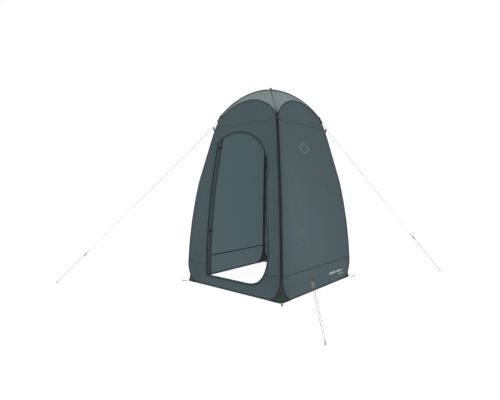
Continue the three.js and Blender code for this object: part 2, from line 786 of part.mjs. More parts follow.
function doorRoll() {
  const inner = wallLevels.filter((z) => z > rollLow + 20 && z < rollHigh - 20);
  return sweep(roundSection(rollRadius, 10), [rollLow, ...inner, rollHigh].map(rollPoint));
}

function doorTie(height) {
  const ring = roundSection(rollRadius + tieClear + tieWall, 12);
  ring.holes.push(roundHole(rollRadius + tieClear, 12));
  const geometry = new THREE.ExtrudeGeometry(ring, { depth: tieWidth, bevelEnabled: false });
  geometry.translate(0, 0, -tieWidth / 2);
  const along = rollPoint(height + 40).sub(rollPoint(height - 40)).normalize();
  geometry.applyQuaternion(new THREE.Quaternion().setFromUnitVectors(up, along));
  const place = rollPoint(height);
  geometry.translate(place.x, place.y, place.z);
  return geometry;
}

const toggleDepth = rollRadius + tieClear + tieWall + toggleRadius + toggleClear;
const togglePoint = (height) => rollPoint(height).add(new THREE.Vector3(0, -toggleDepth, 0));

function toggle(height) {
  const half = toggleLength / 2;
  const end = [[0, -half], [toggleRadius * 0.7, -half], [toggleRadius, -half + 3]];
  const profile = [...end, [toggleRadius, -5], [toggleWaist, -2]];
  const mirrored = profile.slice().reverse().map(([x, y]) => [x, -y]);
  const outline = [...profile, ...mirrored].map(([x, y]) => new THREE.Vector2(x, y));
  const geometry = new THREE.LatheGeometry(outline, 10);
  geometry.rotateX(quarter);
  const place = togglePoint(height);
  geometry.translate(place.x, place.y, place.z);
  return geometry;
}

// Assembly

wallNames.forEach((name, i) => {
  const wall = new THREE.Group();
  wall.rotation.z = i * quarter;
  group.add(wall);
  add(wall, `hoop_rod_${name}`, hoopRod(), steel());
  add(wall, `hoop_ferrule_${name}`, hoopFerrule(), steel());
  add(wall, `hoop_binding_${name}`, hoopBinding(), binding());
  add(wall, `wall_${name}`, wallCloth(i === 0), cloth());
  add(wall, `roof_gore_${name}`, roofGore(i % 2 === 0), roofCloth());
});

cornerNames.forEach((name, i) => {
  const corner = new THREE.Group();
  corner.rotation.z = i * quarter;
  group.add(corner);
  add(corner, `corner_gusset_${name}`, cornerGusset(), cloth());
  add(corner, `guy_tab_${name}`, guyTab(), webbing());
  add(corner, `guy_anchor_${name}`, guyAnchor(i % 2 === 1), webbing());
  add(corner, `peg_loop_${name}`, pegLoop(), webbing());
  add(corner, `corner_peg_${name}`, cornerPeg(), steel());
});

const archGroup = new THREE.Group();
archGroup.rotation.z = quarter / 2;
group.add(archGroup);
add(archGroup, 'roof_arch_rod', sweep(roundSection(rodRadius, 6), roofArchRoute(0.01)), steel());
add(archGroup, 'roof_arch_binding', roofArchBinding(), binding());
add(group, 'apex_loop', apexLoop(), webbing());

add(group, 'door_zip', doorZip(), binding());
add(group, 'zip_slider', zipSlider(), darkPlastic());
add(group, 'zip_pull', zipPull(), darkPlastic());
add(group, 'door_roll', doorRoll(), cloth());
for (const [name, height] of Object.entries(tieHeights)) {
  add(group, `door_tie_${name}`, doorTie(height), webbing());
  add(group, `door_toggle_${name}`, toggle(height), darkPlastic());
}

for (const guy of guys) {
  add(group, `guy_line_${guy.name}`, sweep(roundSection(cordRadius, 8), guyRoute(guy)), cordCloth());
  add(group, `guy_runner_${guy.name}`, guyRunner(guy), greyPlastic());
  add(group, `guy_peg_${guy.name}`, guyPeg(guy), steel());
}

export default group;
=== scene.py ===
import math

import bmesh
import bpy
import numpy as np
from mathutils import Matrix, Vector, noise
from mathutils.geometry import delaunay_2d_cdt
from mathutils.kdtree import KDTree


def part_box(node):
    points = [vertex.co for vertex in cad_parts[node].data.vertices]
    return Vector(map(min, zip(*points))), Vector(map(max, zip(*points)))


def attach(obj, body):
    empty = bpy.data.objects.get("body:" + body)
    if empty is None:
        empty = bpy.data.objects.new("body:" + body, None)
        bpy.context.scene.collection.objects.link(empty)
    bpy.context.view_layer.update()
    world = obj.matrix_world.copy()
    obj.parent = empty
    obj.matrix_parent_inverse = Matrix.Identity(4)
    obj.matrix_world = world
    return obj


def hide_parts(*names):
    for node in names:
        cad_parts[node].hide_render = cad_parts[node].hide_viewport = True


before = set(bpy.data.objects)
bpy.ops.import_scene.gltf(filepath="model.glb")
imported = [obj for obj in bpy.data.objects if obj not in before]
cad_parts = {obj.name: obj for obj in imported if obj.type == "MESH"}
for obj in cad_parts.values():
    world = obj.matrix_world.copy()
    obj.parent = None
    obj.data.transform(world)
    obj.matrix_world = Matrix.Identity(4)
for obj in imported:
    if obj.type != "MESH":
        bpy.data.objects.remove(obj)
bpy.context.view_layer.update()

scene = bpy.context.scene
quarter = math.pi / 2
wallNames = ["front", "right", "back", "left"]
cornerNames = ["front_right", "back_right", "back_left", "front_left"]


# small helpers

def mix(a, b, t):
    return a + (b - a) * t


def smoothStep(low, high, value):
    t = min(max((value - low) / (high - low), 0), 1)
    return t * t * (3 - 2 * t)


def cubic(t, a, b, c, d):
    s = 1 - t
    return s * s * s * a + 3 * s * s * t * b + 3 * s * t * t * c + t * t * t * d


def boxCentre(node):
    low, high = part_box(node)
    return (low + high) / 2


def turned(point, quarters):
    for _ in range(quarters % 4):
        point = Vector((-point.y, point.x, point.z))
    return point


# whole tent, the same sizes as the CAD frame

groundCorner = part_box("corner_gusset_front_right")[1]
tent = dict(
    corner=groundCorner.x,      # ground corners, half the footprint
    foot=groundCorner.x - 0.002,
    split=0.190,                # the hoops part below this
    shoulder=1.600,             # the walls end here
    shoulderHalf=0.384,
    lowerBow=0.056,
    upperBow=0.062,
    ridgeTop=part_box("roof_arch_binding")[1].z - 0.006,
    ridgeRise=0.110,
    ridgeFlat=0.190,
    pinch=0.014,                # the lower corners draw in by this
    gussetTop=0.022,
    planeLow=1.000,             # the door wall is flat between these heights
    planeHigh=1.500,
    cloth=0.0006,
)
hoop = dict(
    half=0.006,                 # half the binding's width
    top=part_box("hoop_binding_front")[1].z - 0.006,
    spring=1.560,
    hemRun=0.130,
    lift=0.0005,
    sleeve=0.0050,              # radius of the round sleeve over the rod
    lip=0.0095,                 # the sleeve's sewn lips reach this far onto the cloth
    lipHalf=0.0014,
)
inset = 2 * hoop["half"]
hemHeight = hoop["half"] + hoop["lift"]
hemX = tent["foot"] - inset - hoop["hemRun"]
panel = (tent["planeLow"] - tent["split"]) / 4
wallLevels = [0] + [tent["split"] + panel * i for i in range(4)]
wallLevels += [tent["planeLow"], tent["planeHigh"], tent["shoulder"], hoop["top"] + 0.04]


def bowedHalf(z):
    foot, top = tent["foot"], tent["shoulderHalf"]
    t = (z - tent["split"]) / (tent["shoulder"] - tent["split"])
    lower = foot + (top - foot) / 3 + tent["lowerBow"]
    upper = foot + (top - foot) * 2 / 3 + tent["upperBow"]
    if t <= 0:
        return foot
    if t <= 1:
        return cubic(t, foot, lower, upper, top)
    return top + 3 * (top - upper) * (t - 1)


levelHalves = [bowedHalf(z) for z in wallLevels]


def straightHalf(z):
    if z > wallLevels[-1]:
        slope = (levelHalves[-1] - levelHalves[-2]) / (wallLevels[-1] - wallLevels[-2])
        return levelHalves[-1] + slope * (z - wallLevels[-1])
    return float(np.interp(z, wallLevels, levelHalves))


def wallHalf(z):
    # half the distance between opposite walls, with the bends between the panels eased
    reach = 0.05 * smoothStep(0, 0.12, z)
    return sum(straightHalf(z + reach * k / 3) for k in range(-3, 4)) / 7


def wallNormal(z):
    slope = (wallHalf(z + 0.005) - wallHalf(z - 0.005)) / 0.01
    return Vector((0, -1, -slope)).normalized()


def hoopSide(z):
    return wallHalf(z) - inset


def hoopArch(turn):
    z = hoop["spring"] + (hoop["top"] - hoop["spring"]) * math.sin(turn)
    return hoopSide(z) * math.cos(turn), z


def hoopLoop(cornerSteps=22, sideStep=0.028, archSteps=34):
    # centre line of a hoop in its wall, from the right end of the hem round to the left
    right = []
    for i in range(cornerSteps + 1):
        turn = quarter * i / cornerSteps
        drop = (tent["split"] - hemHeight) * math.cos(turn)
        right.append((hemX + hoop["hemRun"] * math.sin(turn), tent["split"] - drop))
    sideSteps = round((hoop["spring"] - tent["split"]) / sideStep)
    for i in range(1, sideSteps):
        z = mix(tent["split"], hoop["spring"], i / sideSteps)
        right.append((hoopSide(z), z))
    right += [hoopArch(quarter * i / archSteps) for i in range(archSteps)]
    hem = [(hemX * i / 14, hemHeight) for i in range(14)]
    left = [(-x, z) for x, z in reversed(hem[1:] + right)]
    return hem + right + [(0, hoop["top"])] + left


def moveInwards(loop, distance):
    moved = []
    for i, (x, z) in enumerate(loop):
        before, after = loop[i - 1], loop[(i + 1) % len(loop)]
        along = Vector((after[0] - before[0], after[1] - before[1])).normalized()
        moved.append((x - along.y * distance, z + along.x * distance))
    return moved


# camera

eye = dict(place=(2.431, -2.998, 0.981), tilt=87.73, yaw=38.71, lens=26.89, shiftX=-0.0458, shiftY=-0.002)


def addCamera():
    data = bpy.data.cameras.new("camera")
    data.lens = eye["lens"]
    data.sensor_width = 36
    data.shift_x = eye["shiftX"]
    data.shift_y = eye["shiftY"]
    camera = bpy.data.objects.new("camera", data)
    camera.location = eye["place"]
    camera.rotation_euler = (math.radians(eye["tilt"]), 0, math.radians(eye["yaw"]))
    scene.collection.objects.link(camera)
    scene.camera = camera


addCamera()
print("camera placed")


# node helpers

def addNode(tree, kind, inputs=None, **settings):
    made = tree.nodes.new(kind)
    for key, value in settings.items():
        setattr(made, key, value)
    for key, value in (inputs or {}).items():
        if isinstance(value, bpy.types.NodeSocket):
            tree.links.new(value, made.inputs[key])
        else:
            made.inputs[key].default_value = value
    return made


def maths(tree, operation, a, b=0.0, c=0.5):
    return addNode(tree, "ShaderNodeMath", {0: a, 1: b, 2: c}, operation=operation).outputs[0]


def rgba(colour):
    # sRGB steps to the linear colour that sockets hold
    linear = [(c / 255 / 12.92) if c < 11 else ((c / 255 + 0.055) / 1.055) ** 2.4 for c in colour]
    return (*linear, 1)


def startMaterial(name, roughness, metallic=0.0, sheen=0.0, gloss=0.5):
    material = bpy.data.materials.new(name)
    material.use_nodes = True
    tree = material.node_tree
    shader = tree.nodes["Principled BSDF"]
    shader.inputs["Roughness"].default_value = roughness
    shader.inputs["Metallic"].default_value = metallic
    shader.inputs["Sheen Weight"].default_value = sheen
    shader.inputs["Sheen Roughness"].default_value = 0.5
    shader.inputs["Specular IOR Level"].default_value = gloss
    return material, tree, shader


def objectNoise(tree, scale, detail=2.0, stretch=(1, 1, 1)):
    place = addNode(tree, "ShaderNodeTexCoord").outputs["Object"]
    spread = addNode(tree, "ShaderNodeMapping", {"Vector": place, "Scale": stretch}).outputs[0]
    made = addNode(tree, "ShaderNodeTexNoise", {"Vector": spread, "Scale": scale, "Detail": detail})
    return made.outputs["Fac"]


def mixColours(tree, share, a, b, blend="MIX"):
    inputs = {"Factor": share, "A": a, "B": b}
    return addNode(tree, "ShaderNodeMix", inputs, data_type="RGBA", blend_type=blend).outputs["Result"]


def tinted(tree, colour, pattern, darker, lighter):
    # the base colour, moved between two brightnesses by a pattern
    ends = [(*[c * share for c in colour[:3]], 1) for share in (darker, lighter)]
    return mixColours(tree, pattern, *ends)


def spreadOver(tree, pattern, low, high, top=1.0):
    # a pattern that runs from 0 to top, made to run from low to high
    inputs = {"Value": pattern, "From Max": top, "To Min": low, "To Max": high}
    return addNode(tree, "ShaderNodeMapRange", inputs).outputs[0]


def threadPlace(tree):
    # along and across on the piece's own UV map, in metres
    place = addNode(tree, "ShaderNodeUVMap", uv_map="weave").outputs[0]
    return addNode(tree, "ShaderNodeSeparateXYZ", {0: place}).outputs[:2]


def waves(tree, run, turn):
    return maths(tree, "SINE", maths(tree, "MULTIPLY", run, turn))


def weave(tree, pitch):
    # plain weave: over and under, thread by thread
    ways = [waves(tree, run, 2 * math.pi / pitch) for run in threadPlace(tree)]
    return maths(tree, "MULTIPLY_ADD", maths(tree, "MULTIPLY", *ways), 0.5)


def bump(tree, height, strength, distance, before=None):
    inputs = {"Height": height, "Strength": strength, "Distance": distance}
    if before is not None:
        inputs["Normal"] = before
    return addNode(tree, "ShaderNodeBump", inputs).outputs[0]


def coat(tree, shader, colour, normal, rough=None):
    tree.links.new(colour, shader.inputs["Base Color"])
    tree.links.new(normal, shader.inputs["Normal"])
    if rough is not None:
        tree.links.new(rough, shader.inputs["Roughness"])


def letThrough(tree, shader, share, glow):
    # thin cloth: part of the light comes through from the other side
    through = addNode(tree, "ShaderNodeBsdfTranslucent", {"Color": (*glow, 1)})
    both = addNode(tree, "ShaderNodeMixShader", {0: share, 1: shader.outputs[0], 2: through.outputs[0]})
    tree.links.new(both.outputs[0], tree.nodes["Material Output"].inputs["Surface"])


clothLook = dict(
    pitch=0.0011, weaveBump=0.5, weaveDepth=0.00010, yarnLow=0.96, yarnRise=0.08,
    patches=3.0, patchShape=(1, 1, 0.45), tone=(0.90, 1.10), sheen=0.02, gloss=0.16,
    crinkle=48, crinkleBump=0.35, crinkleDepth=0.0007,
    dustAndShade=5, dustAndShadeTop=0.55, dustAndShadeShare=1.00, dustAndShadeTone=0.72,       # dust and painted shade: darker towards the ground
    roughPatches=9, smoother=0.06, rougher=0.08,
)


def clothMaterial(name, colour, seeThrough, glow=(0.46, 0.56, 0.59), roughness=0.62):
    look = clothLook
    material, tree, shader = startMaterial(name, roughness, sheen=look["sheen"], gloss=look["gloss"])
    patches = objectNoise(tree, look["patches"], 3.0, look["patchShape"])
    shade = tinted(tree, rgba(colour), patches, *look["tone"])
    threads = weave(tree, look["pitch"])
    yarn = maths(tree, "MULTIPLY_ADD", threads, look["yarnRise"], look["yarnLow"])
    woven = mixColours(tree, 1.0, shade, yarn, "MULTIPLY")
    place = addNode(tree, "ShaderNodeTexCoord").outputs["Object"]
    height = addNode(tree, "ShaderNodeSeparateXYZ", {0: place}).outputs[2]
    # darker towards the ground: part dust, part painted shade
    low = spreadOver(tree, height, look["dustAndShadeShare"], 0.0, look["dustAndShadeTop"])
    dustAndShade = maths(tree, "MULTIPLY", low, objectNoise(tree, look["dustAndShade"], 4.0))
    dustyAndShaded = mixColours(tree, dustAndShade, woven, rgba([c * look["dustAndShadeTone"] for c in colour]))
    dull = objectNoise(tree, look["roughPatches"])
    rough = spreadOver(tree, dull, roughness - look["smoother"], roughness + look["rougher"])
    crinkle = bump(tree, objectNoise(tree, look["crinkle"], 3.0), look["crinkleBump"], look["crinkleDepth"])
    fine = bump(tree, threads, look["weaveBump"], look["weaveDepth"], crinkle)
    coat(tree, shader, dustyAndShaded, fine, rough)
    letThrough(tree, shader, seeThrough, glow)
    return material


tapeLook = dict(
    ribShare=0.6, twill=5200, twillShare=0.4, bump=0.7, patches=16, tone=(0.78, 1.22),
    sheen=0.02, gloss=0.12, glow=(0.36, 0.44, 0.47),
)


def tapeMaterial(name, colour, ribPitch, roughness=0.8, depth=0.00025, seeThrough=0.0):
    # narrow woven tape: ribs across its length, a finer weave over them
    look = tapeLook
    material, tree, shader = startMaterial(name, roughness, sheen=look["sheen"], gloss=look["gloss"])
    run, girth = threadPlace(tree)
    ribs = maths(tree, "MULTIPLY", waves(tree, run, 2 * math.pi / ribPitch), look["ribShare"])
    twill = waves(tree, maths(tree, "ADD", run, girth), look["twill"])
    height = maths(tree, "MULTIPLY_ADD", twill, look["twillShare"], ribs)
    shade = tinted(tree, rgba(colour), objectNoise(tree, look["patches"], 3.0), *look["tone"])
    coat(tree, shader, shade, bump(tree, height, look["bump"], depth))
    if seeThrough:
        letThrough(tree, shader, seeThrough, look["glow"])
    return material


plasticLook = dict(
    patches=60, tone=(0.86, 1.16), grain=140, smoother=0.08, rougher=0.12, pores=900, bump=0.25, depth=0.0001,
)


def plasticMaterial(name, colour, roughness):
    look = plasticLook
    material, tree, shader = startMaterial(name, roughness)
    shade = tinted(tree, rgba(colour), objectNoise(tree, look["patches"], 4.0), *look["tone"])
    grain = objectNoise(tree, look["grain"], 3.0)
    rough = spreadOver(tree, grain, roughness - look["smoother"], roughness + look["rougher"])
    pores = bump(tree, objectNoise(tree, look["pores"]), look["bump"], look["depth"])
    coat(tree, shader, shade, pores, rough)
    return material


metalLook = dict(
    patches=26, tone=(0.80, 1.10), streaks=320, smoother=0.1, rougher=0.15, bump=0.2, depth=0.00008,
)


def metalMaterial(name, colour, roughness, stretch, metallic=1.0):
    look = metalLook
    material, tree, shader = startMaterial(name, roughness, metallic)
    streak = objectNoise(tree, look["streaks"], 3.0, stretch)
    shade = tinted(tree, rgba(colour), objectNoise(tree, look["patches"], 4.0), *look["tone"])
    rough = spreadOver(tree, streak, roughness - look["smoother"], roughness + look["rougher"])
    coat(tree, shader, shade, bump(tree, streak, look["bump"], look["depth"]), rough)
    return material


braidLook = dict(
    lay=0.005, strand=0.0026, tracerTurn=0.25, tracerFrom=0.86, patches=90, tone=(0.82, 1.15),
    bump=0.6, depth=0.0002, roughness=0.72, sheen=0.03, gloss=0.2,
)


def cordMaterial(name, colour, fleck):
    # round braid: strands cross both ways round the cord, with a paler tracer in every few
    look = braidLook
    material, tree, shader = startMaterial(name, look["roughness"], sheen=look["sheen"], gloss=look["gloss"])
    run, girth = threadPlace(tree)
    along = maths(tree, "MULTIPLY", run, 2 * math.pi / look["lay"])
    around = maths(tree, "MULTIPLY", girth, 2 * math.pi / look["strand"])
    ways = [maths(tree, "SINE", maths(tree, way, along, around)) for way in ("ADD", "SUBTRACT")]
    height = maths(tree, "MAXIMUM", *ways)
    tracer = maths(tree, "GREATER_THAN", waves(tree, along, look["tracerTurn"]), look["tracerFrom"])
    shade = tinted(tree, rgba(colour), objectNoise(tree, look["patches"]), *look["tone"])
    flecked = mixColours(tree, tracer, shade, rgba(fleck))
    coat(tree, shader, flecked, bump(tree, height, look["bump"], look["depth"]))
    return material


wallCloth = clothMaterial("slate_polyester", (76, 91, 94), 0.50)
gussetCloth = clothMaterial("corner_polyester", (59, 68, 68), 0.28, (0.3, 0.36, 0.37))
roofCloth = clothMaterial("roof_polyester", (125, 136, 137), 0.50, (0.60, 0.68, 0.69))
# the rolled door is the wall's own cloth; its darker colour, dimmer glow and low see-through are painted
# shade
shadedRollCloth = clothMaterial("rolled_polyester_painted_shade", (50, 62, 68), 0.10, (0.3, 0.4, 0.42))
sleeveTape = tapeMaterial("sleeve_tape", (33, 41, 45), 0.0016, seeThrough=0.30)
seamTape = tapeMaterial("seam_tape", (31, 39, 43), 0.0012)
bandSeam = tapeMaterial("band_seam", (66, 82, 86), 0.0012, seeThrough=0.32)
webbing = tapeMaterial("loop_webbing", (26, 31, 34), 0.0020, depth=0.0004)
zipTape = tapeMaterial("zip_tape", (30, 40, 45), 0.0009)
threadLook = plasticMaterial("sewing_thread", (52, 63, 67), 0.7)
coilLook = plasticMaterial("zip_coil", (34, 40, 44), 0.4)
blackPlastic = plasticMaterial("black_nylon", (32, 36, 39), 0.42)
greyPlastic = plasticMaterial("grey_nylon", (82, 86, 88), 0.45)
printInk = plasticMaterial("grey_print", (136, 146, 144), 0.7)
faintInk = plasticMaterial("faint_print", (102, 119, 121), 0.7)
springSteel = metalMaterial("spring_steel", (168, 171, 174), 0.32, (1, 1, 1))
ferruleSteel = metalMaterial("ferrule_steel", (186, 186, 182), 0.36, (0.05, 1, 1))
pegSteel = metalMaterial("peg_steel", (150, 153, 156), 0.40, (1, 1, 0.2))
sliderMetal = metalMaterial("slider_metal", (58, 62, 66), 0.38, (1, 1, 1), 0.8)
braid = cordMaterial("guy_braid", (100, 54, 30), (86, 74, 60))
greyBraid = cordMaterial("grey_braid", (80, 84, 84), (112, 114, 112))
print("materials mixed")


# mesh helpers

def meshFrom(bm, name):
    mesh = bpy.data.meshes.new(name)
    bm.to_mesh(mesh)
    bm.free()
    return mesh


def turnsRound(count):
    return [2 * math.pi * k / count for k in range(count)]


def alongAt(points, i):
    # the way a line runs at one of its points
    return (points[min(i + 1, len(points) - 1)] - points[max(i - 1, 0)]).normalized()


def finishPiece(mesh, name, materials, nodes=(), body="tent", smooth=True):
    piece = bpy.data.objects.new(name, mesh)
    scene.collection.objects.link(piece)
    mesh.materials.clear()
    for material in materials:
        mesh.materials.append(material)
    if smooth:
        mesh.polygons.foreach_set("use_smooth", [True] * len(mesh.polygons))
    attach(piece, body)
    if nodes:
        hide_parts(*nodes)
    return piece


def sweptMesh(points, normals, section, closed=False):
    # section: (side, out) steps round the line; side is normal x travel
    count, around = len(points), len(section)
    bm = bmesh.new()
    uvLayer = bm.loops.layers.uv.new("weave")
    rings, lengths, run = [], [], 0
    for i, point in enumerate(points):
        before = points[i - 1] if i or closed else point
        after = points[(i + 1) % count] if i < count - 1 or closed else point
        along = (after - before).normalized()
        out = (normals[i] - along * normals[i].dot(along)).normalized()
        side = out.cross(along)
        rings.append([bm.verts.new(point + side * s + out * n) for s, n in section])
        run += (point - points[i - 1]).length if i else 0
        lengths.append(run)
    girth = [0]
    for j in range(around):
        a, b = section[j], section[(j + 1) % around]
        girth.append(girth[-1] + math.hypot(b[0] - a[0], b[1] - a[1]))
    for i in range(count if closed else count - 1):
        k = (i + 1) % count
        endRun = lengths[k] if k else run + (points[0] - points[-1]).length
        for j in range(around):
            m = (j + 1) % around
            face = bm.faces.new((rings[i][j], rings[k][j], rings[k][m], rings[i][m]))
            low, high = girth[j], girth[j + 1]
            places = ((lengths[i], low), (endRun, low), (endRun, high), (lengths[i], high))
            for loop, place in zip(face.loops, places):
                loop[uvLayer].uv = place
    if not closed:
        for ring in (rings[0], rings[-1]):
            cap = bm.faces.new(ring)
            for loop, place in zip(cap.loops, section):
                loop[uvLayer].uv = place
    bmesh.ops.recalc_face_normals(bm, faces=bm.faces)
    return meshFrom(bm, "swept")


def roundProfile(radius, sides):
    return [(radius * math.cos(turn), radius * math.sin(turn)) for turn in turnsRound(sides)]


def flatProfile(width, thick, low=0.0):
    # a thin tape with eased edges, lying on the surface from low upwards
    w, ease = width / 2, min(thick, width / 6)
    edge, top = low + thick * 0.5, low + thick
    return [(-w, low), (w, low), (w, edge), (w - ease, top), (-w + ease, top), (-w, edge)]


def wovenProfile(w, low, top, ease):
    # a flat band, w to each side, with its upper edges eased
    return [(-w, low), (w, low), (w, top * 0.6), (w - ease, top), (-w + ease, top), (-w, top * 0.6)]


def smoothLine(points, perSpan):
    # Catmull-Rom through the points
    line = []
    for i in range(len(points) - 1):
        a = points[i - 1] if i else points[0] * 2 - points[1]
        b, c = points[i], points[i + 1]
        d = points[i + 2] if i + 2 < len(points) else points[-1] * 2 - points[-2]
        for k in range(perSpan):
            t = k / perSpan
            curve = 2 * b + (c - a) * t
            curve += (2 * a - 5 * b + 4 * c - d) * t * t
            curve += (3 * b - a - 3 * c + d) * t ** 3
            line.append(curve / 2)
    return line + [points[-1]]


def softenedCopy(node, name, width, material, body="tent", axes=None):
    # the CAD solid with its edges eased; the pattern runs along the two axes given
    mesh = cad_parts[node].data.copy()
    bm = bmesh.new()
    bm.from_mesh(mesh)
    bmesh.ops.remove_doubles(bm, verts=bm.verts, dist=1e-6)
    bmesh.ops.dissolve_limit(bm, angle_limit=math.radians(1.5), verts=bm.verts, edges=bm.edges)
    bmesh.ops.recalc_face_normals(bm, faces=bm.faces)
    edges = [e for e in bm.edges if len(e.link_faces) == 2 and e.calc_face_angle(0) > math.radians(30)]
    bmesh.ops.bevel(bm, geom=edges, offset=width, segments=2, affect="EDGES", profile=0.6, clamp_overlap=True)
    for layer in list(bm.loops.layers.uv):
        bm.loops.layers.uv.remove(layer)
    uvLayer = bm.loops.layers.uv.new("weave")
    u, v = axes or (Vector((1, 0, 0)), Vector((0, 0, 1)))
    for face in bm.faces:
        for loop in face.loops:
            loop[uvLayer].uv = (loop.vert.co.dot(u), loop.vert.co.dot(v))
    bmesh.ops.triangulate(bm, faces=[f for f in bm.faces if len(f.verts) > 4])
    bm.to_mesh(mesh)
    bm.free()
    return finishPiece(mesh, name, [material], (node,), body, smooth=False)


# Geometry Nodes: what repeats along a line

def newTree(name, sizes):
    tree = bpy.data.node_groups.new(name, "GeometryNodeTree")
    face = tree.interface
    face.new_socket("Geometry", in_out="INPUT", socket_type="NodeSocketGeometry")
    for label, value in sizes.items():
        kind = "NodeSocketVector" if isinstance(value, tuple) else "NodeSocketFloat"
        face.new_socket(label, in_out="INPUT", socket_type=kind).default_value = value
    face.new_socket("Finish", in_out="INPUT", socket_type="NodeSocketMaterial")
    face.new_socket("Geometry", in_out="OUTPUT", socket_type="NodeSocketGeometry")
    return tree, addNode(tree, "NodeGroupInput").outputs, addNode(tree, "NodeGroupOutput")


def repeatTree(name, sizes, bead):
    # one small shape at every step of a line, its x along the line and its z off the surface
    tree, given, end = newTree(name, sizes)
    line = addNode(tree, "GeometryNodeMeshToCurve", {"Mesh": given["Geometry"]}).outputs[0]
    steps = addNode(tree, "GeometryNodeResampleCurve", {"Curve": line}, mode="LENGTH")
    tree.links.new(given["Spacing"], steps.inputs["Length"])
    along = addNode(tree, "GeometryNodeInputTangent").outputs[0]
    facing = addNode(tree, "GeometryNodeInputNamedAttribute", {"Name": "facing"}, data_type="FLOAT_VECTOR")
    turn = addNode(
        tree, "FunctionNodeAxesToRotation",
        {"Primary Axis": along, "Secondary Axis": facing.outputs["Attribute"]},
        primary_axis="X", secondary_axis="Z",
    )
    shape = bead(tree)
    sized = addNode(tree, "GeometryNodeTransform", {"Geometry": shape, "Scale": given["Size"]})
    copies = addNode(
        tree, "GeometryNodeInstanceOnPoints",
        {"Points": steps.outputs[0], "Instance": sized.outputs[0], "Rotation": turn.outputs[0]},
    )
    solid = addNode(tree, "GeometryNodeRealizeInstances", {"Geometry": copies.outputs[0]})
    finish = {"Geometry": solid.outputs[0], "Material": given["Finish"]}
    painted = addNode(tree, "GeometryNodeSetMaterial", finish)
    tree.links.new(painted.outputs[0], end.inputs[0])
    return tree


def threadBead(tree):
    return addNode(tree, "GeometryNodeMeshIcoSphere", {"Radius": 0.5, "Subdivisions": 1}).outputs[0]


def coilTooth(tree):
    return addNode(tree, "GeometryNodeMeshCylinder", {"Vertices": 6, "Radius": 0.5, "Depth": 1.0}).outputs[0]


stitchTree = repeatTree("stitch row", {"Spacing": 0.006, "Size": (0.0042, 0.0007, 0.0006)}, threadBead)
toothTree = repeatTree("zip teeth", {"Spacing": 0.0026, "Size": (0.0013, 0.0036, 0.0019)}, coilTooth)


def guideLines(lines):
    # edges only, with the way off the surface kept on each point
    mesh = bpy.data.meshes.new("guide")
    points, edges, facing = [], [], []
    for line, normals, closed in lines:
        start = len(points)
        points += [tuple(p) for p in line]
        facing += [c for n in normals for c in n]
        edges += [(start + i, start + i + 1) for i in range(len(line) - 1)]
        if closed:
            edges.append((start + len(line) - 1, start))
    mesh.from_pydata(points, edges, [])
    attribute = mesh.attributes.new("facing", "FLOAT_VECTOR", "POINT")
    attribute.data.foreach_set("vector", facing)
    guide = bpy.data.objects.new("guide", mesh)
    scene.collection.objects.link(guide)
    return guide


def grownAlong(lines, tree, settings, name, material, body="tent"):
    guide = guideLines(lines)
    modifier = guide.modifiers.new("grow", "NODES")
    modifier.node_group = tree
    for item in tree.interface.items_tree:
        if item.item_type == "SOCKET" and item.in_out == "INPUT" and item.name in settings:
            modifier[item.identifier] = settings[item.name]
        if item.item_type == "SOCKET" and item.name == "Finish":
            modifier[item.identifier] = material
    depsgraph = bpy.context.evaluated_depsgraph_get()
    mesh = bpy.data.meshes.new_from_object(guide.evaluated_get(depsgraph))
    guide.modifiers.clear()
    bpy.data.objects.remove(guide)
    return finishPiece(mesh, name, [material], body=body)


# guy lines: the route's points are the ones in the CAD model, in metres

guyLook = dict(
    radius=0.00125, strandGap=0.011, tabHeight=1.540, tabReach=0.026, tabWidth=0.016, tabTilt=39,
    anchorHeight=1.660, anchorSize=0.026, anchorWall=0.0024, tieLift=0.0022, runner=0.040, tail=0.024,
    pegBend=0.013, sides=8,
)
guys = [
    dict(name="front_right", corner=0, peg=(1.290, -1.065), runnerAt=0.80),
    dict(name="back_right", corner=1, peg=(1.300, 1.410), runnerAt=0.75),
    dict(name="front_left", corner=3, peg=(-1.501, -1.490), runnerAt=0.82),
]
diagonal = Vector((1, -1, 0)).normalized()
crossways = Vector((1, 1, 0)).normalized()
upwards = Vector((0, 0, 1))


def overCorner(half, z):
    return Vector((half, -half, z))


def archPoint(t):
    shoulder, top = tent["shoulder"], tent["ridgeTop"]
    lean = tent["shoulderHalf"] - bowedHalf(shoulder + tent["ridgeRise"])
    half = cubic(t, tent["shoulderHalf"], tent["shoulderHalf"] - lean, tent["ridgeFlat"], 0)
    return half, cubic(t, shoulder, shoulder + tent["ridgeRise"], top, top)


def seamPoint(t):
    return mix(tent["shoulderHalf"], 0, t), mix(tent["shoulder"], tent["ridgeTop"], t)


def anchorTie(onArch):
    crown = archPoint if onArch else seamPoint
    low, high = 0, 1
    for _ in range(40):
        middle = (low + high) / 2
        if crown(middle)[1] < guyLook["anchorHeight"]:
            low = middle
        else:
            high = middle
    here = overCorner(*crown(low))
    along = (overCorner(*crown(low + 0.02)) - here).normalized()
    out = along.cross(crossways).normalized()
    if out.z < 0:
        out.negate()
    size = guyLook["anchorSize"] * (1 if onArch else 0.5)
    lift = (0.0065 if onArch else 0.002 + size * 0.6) + guyLook["anchorWall"]
    return here + out * (lift + guyLook["radius"] + guyLook["tieLift"]), out, along


def tabEye():
    root = overCorner(straightHalf(guyLook["tabHeight"]), guyLook["tabHeight"]) + diagonal * 0.003
    tilt = math.radians(guyLook["tabTilt"])
    out = diagonal * math.cos(tilt) + upwards * math.sin(tilt)
    return root + out * (guyLook["tabReach"] - guyLook["tabWidth"] / 2), out


def guyFrame(guy):
    start = turned(tabEye()[0], guy["corner"])
    peg = Vector((*guy["peg"], guyLook["pegBend"]))
    along = (peg - start).normalized()
    across = along.cross(upwards).normalized()
    runner = start.lerp(peg, guy["runnerAt"])
    tie, out, rise = anchorTie(guy["corner"] % 2 == 1)
    return start, peg, along, across, runner, turned(tie, guy["corner"]), turned(out, guy["corner"])


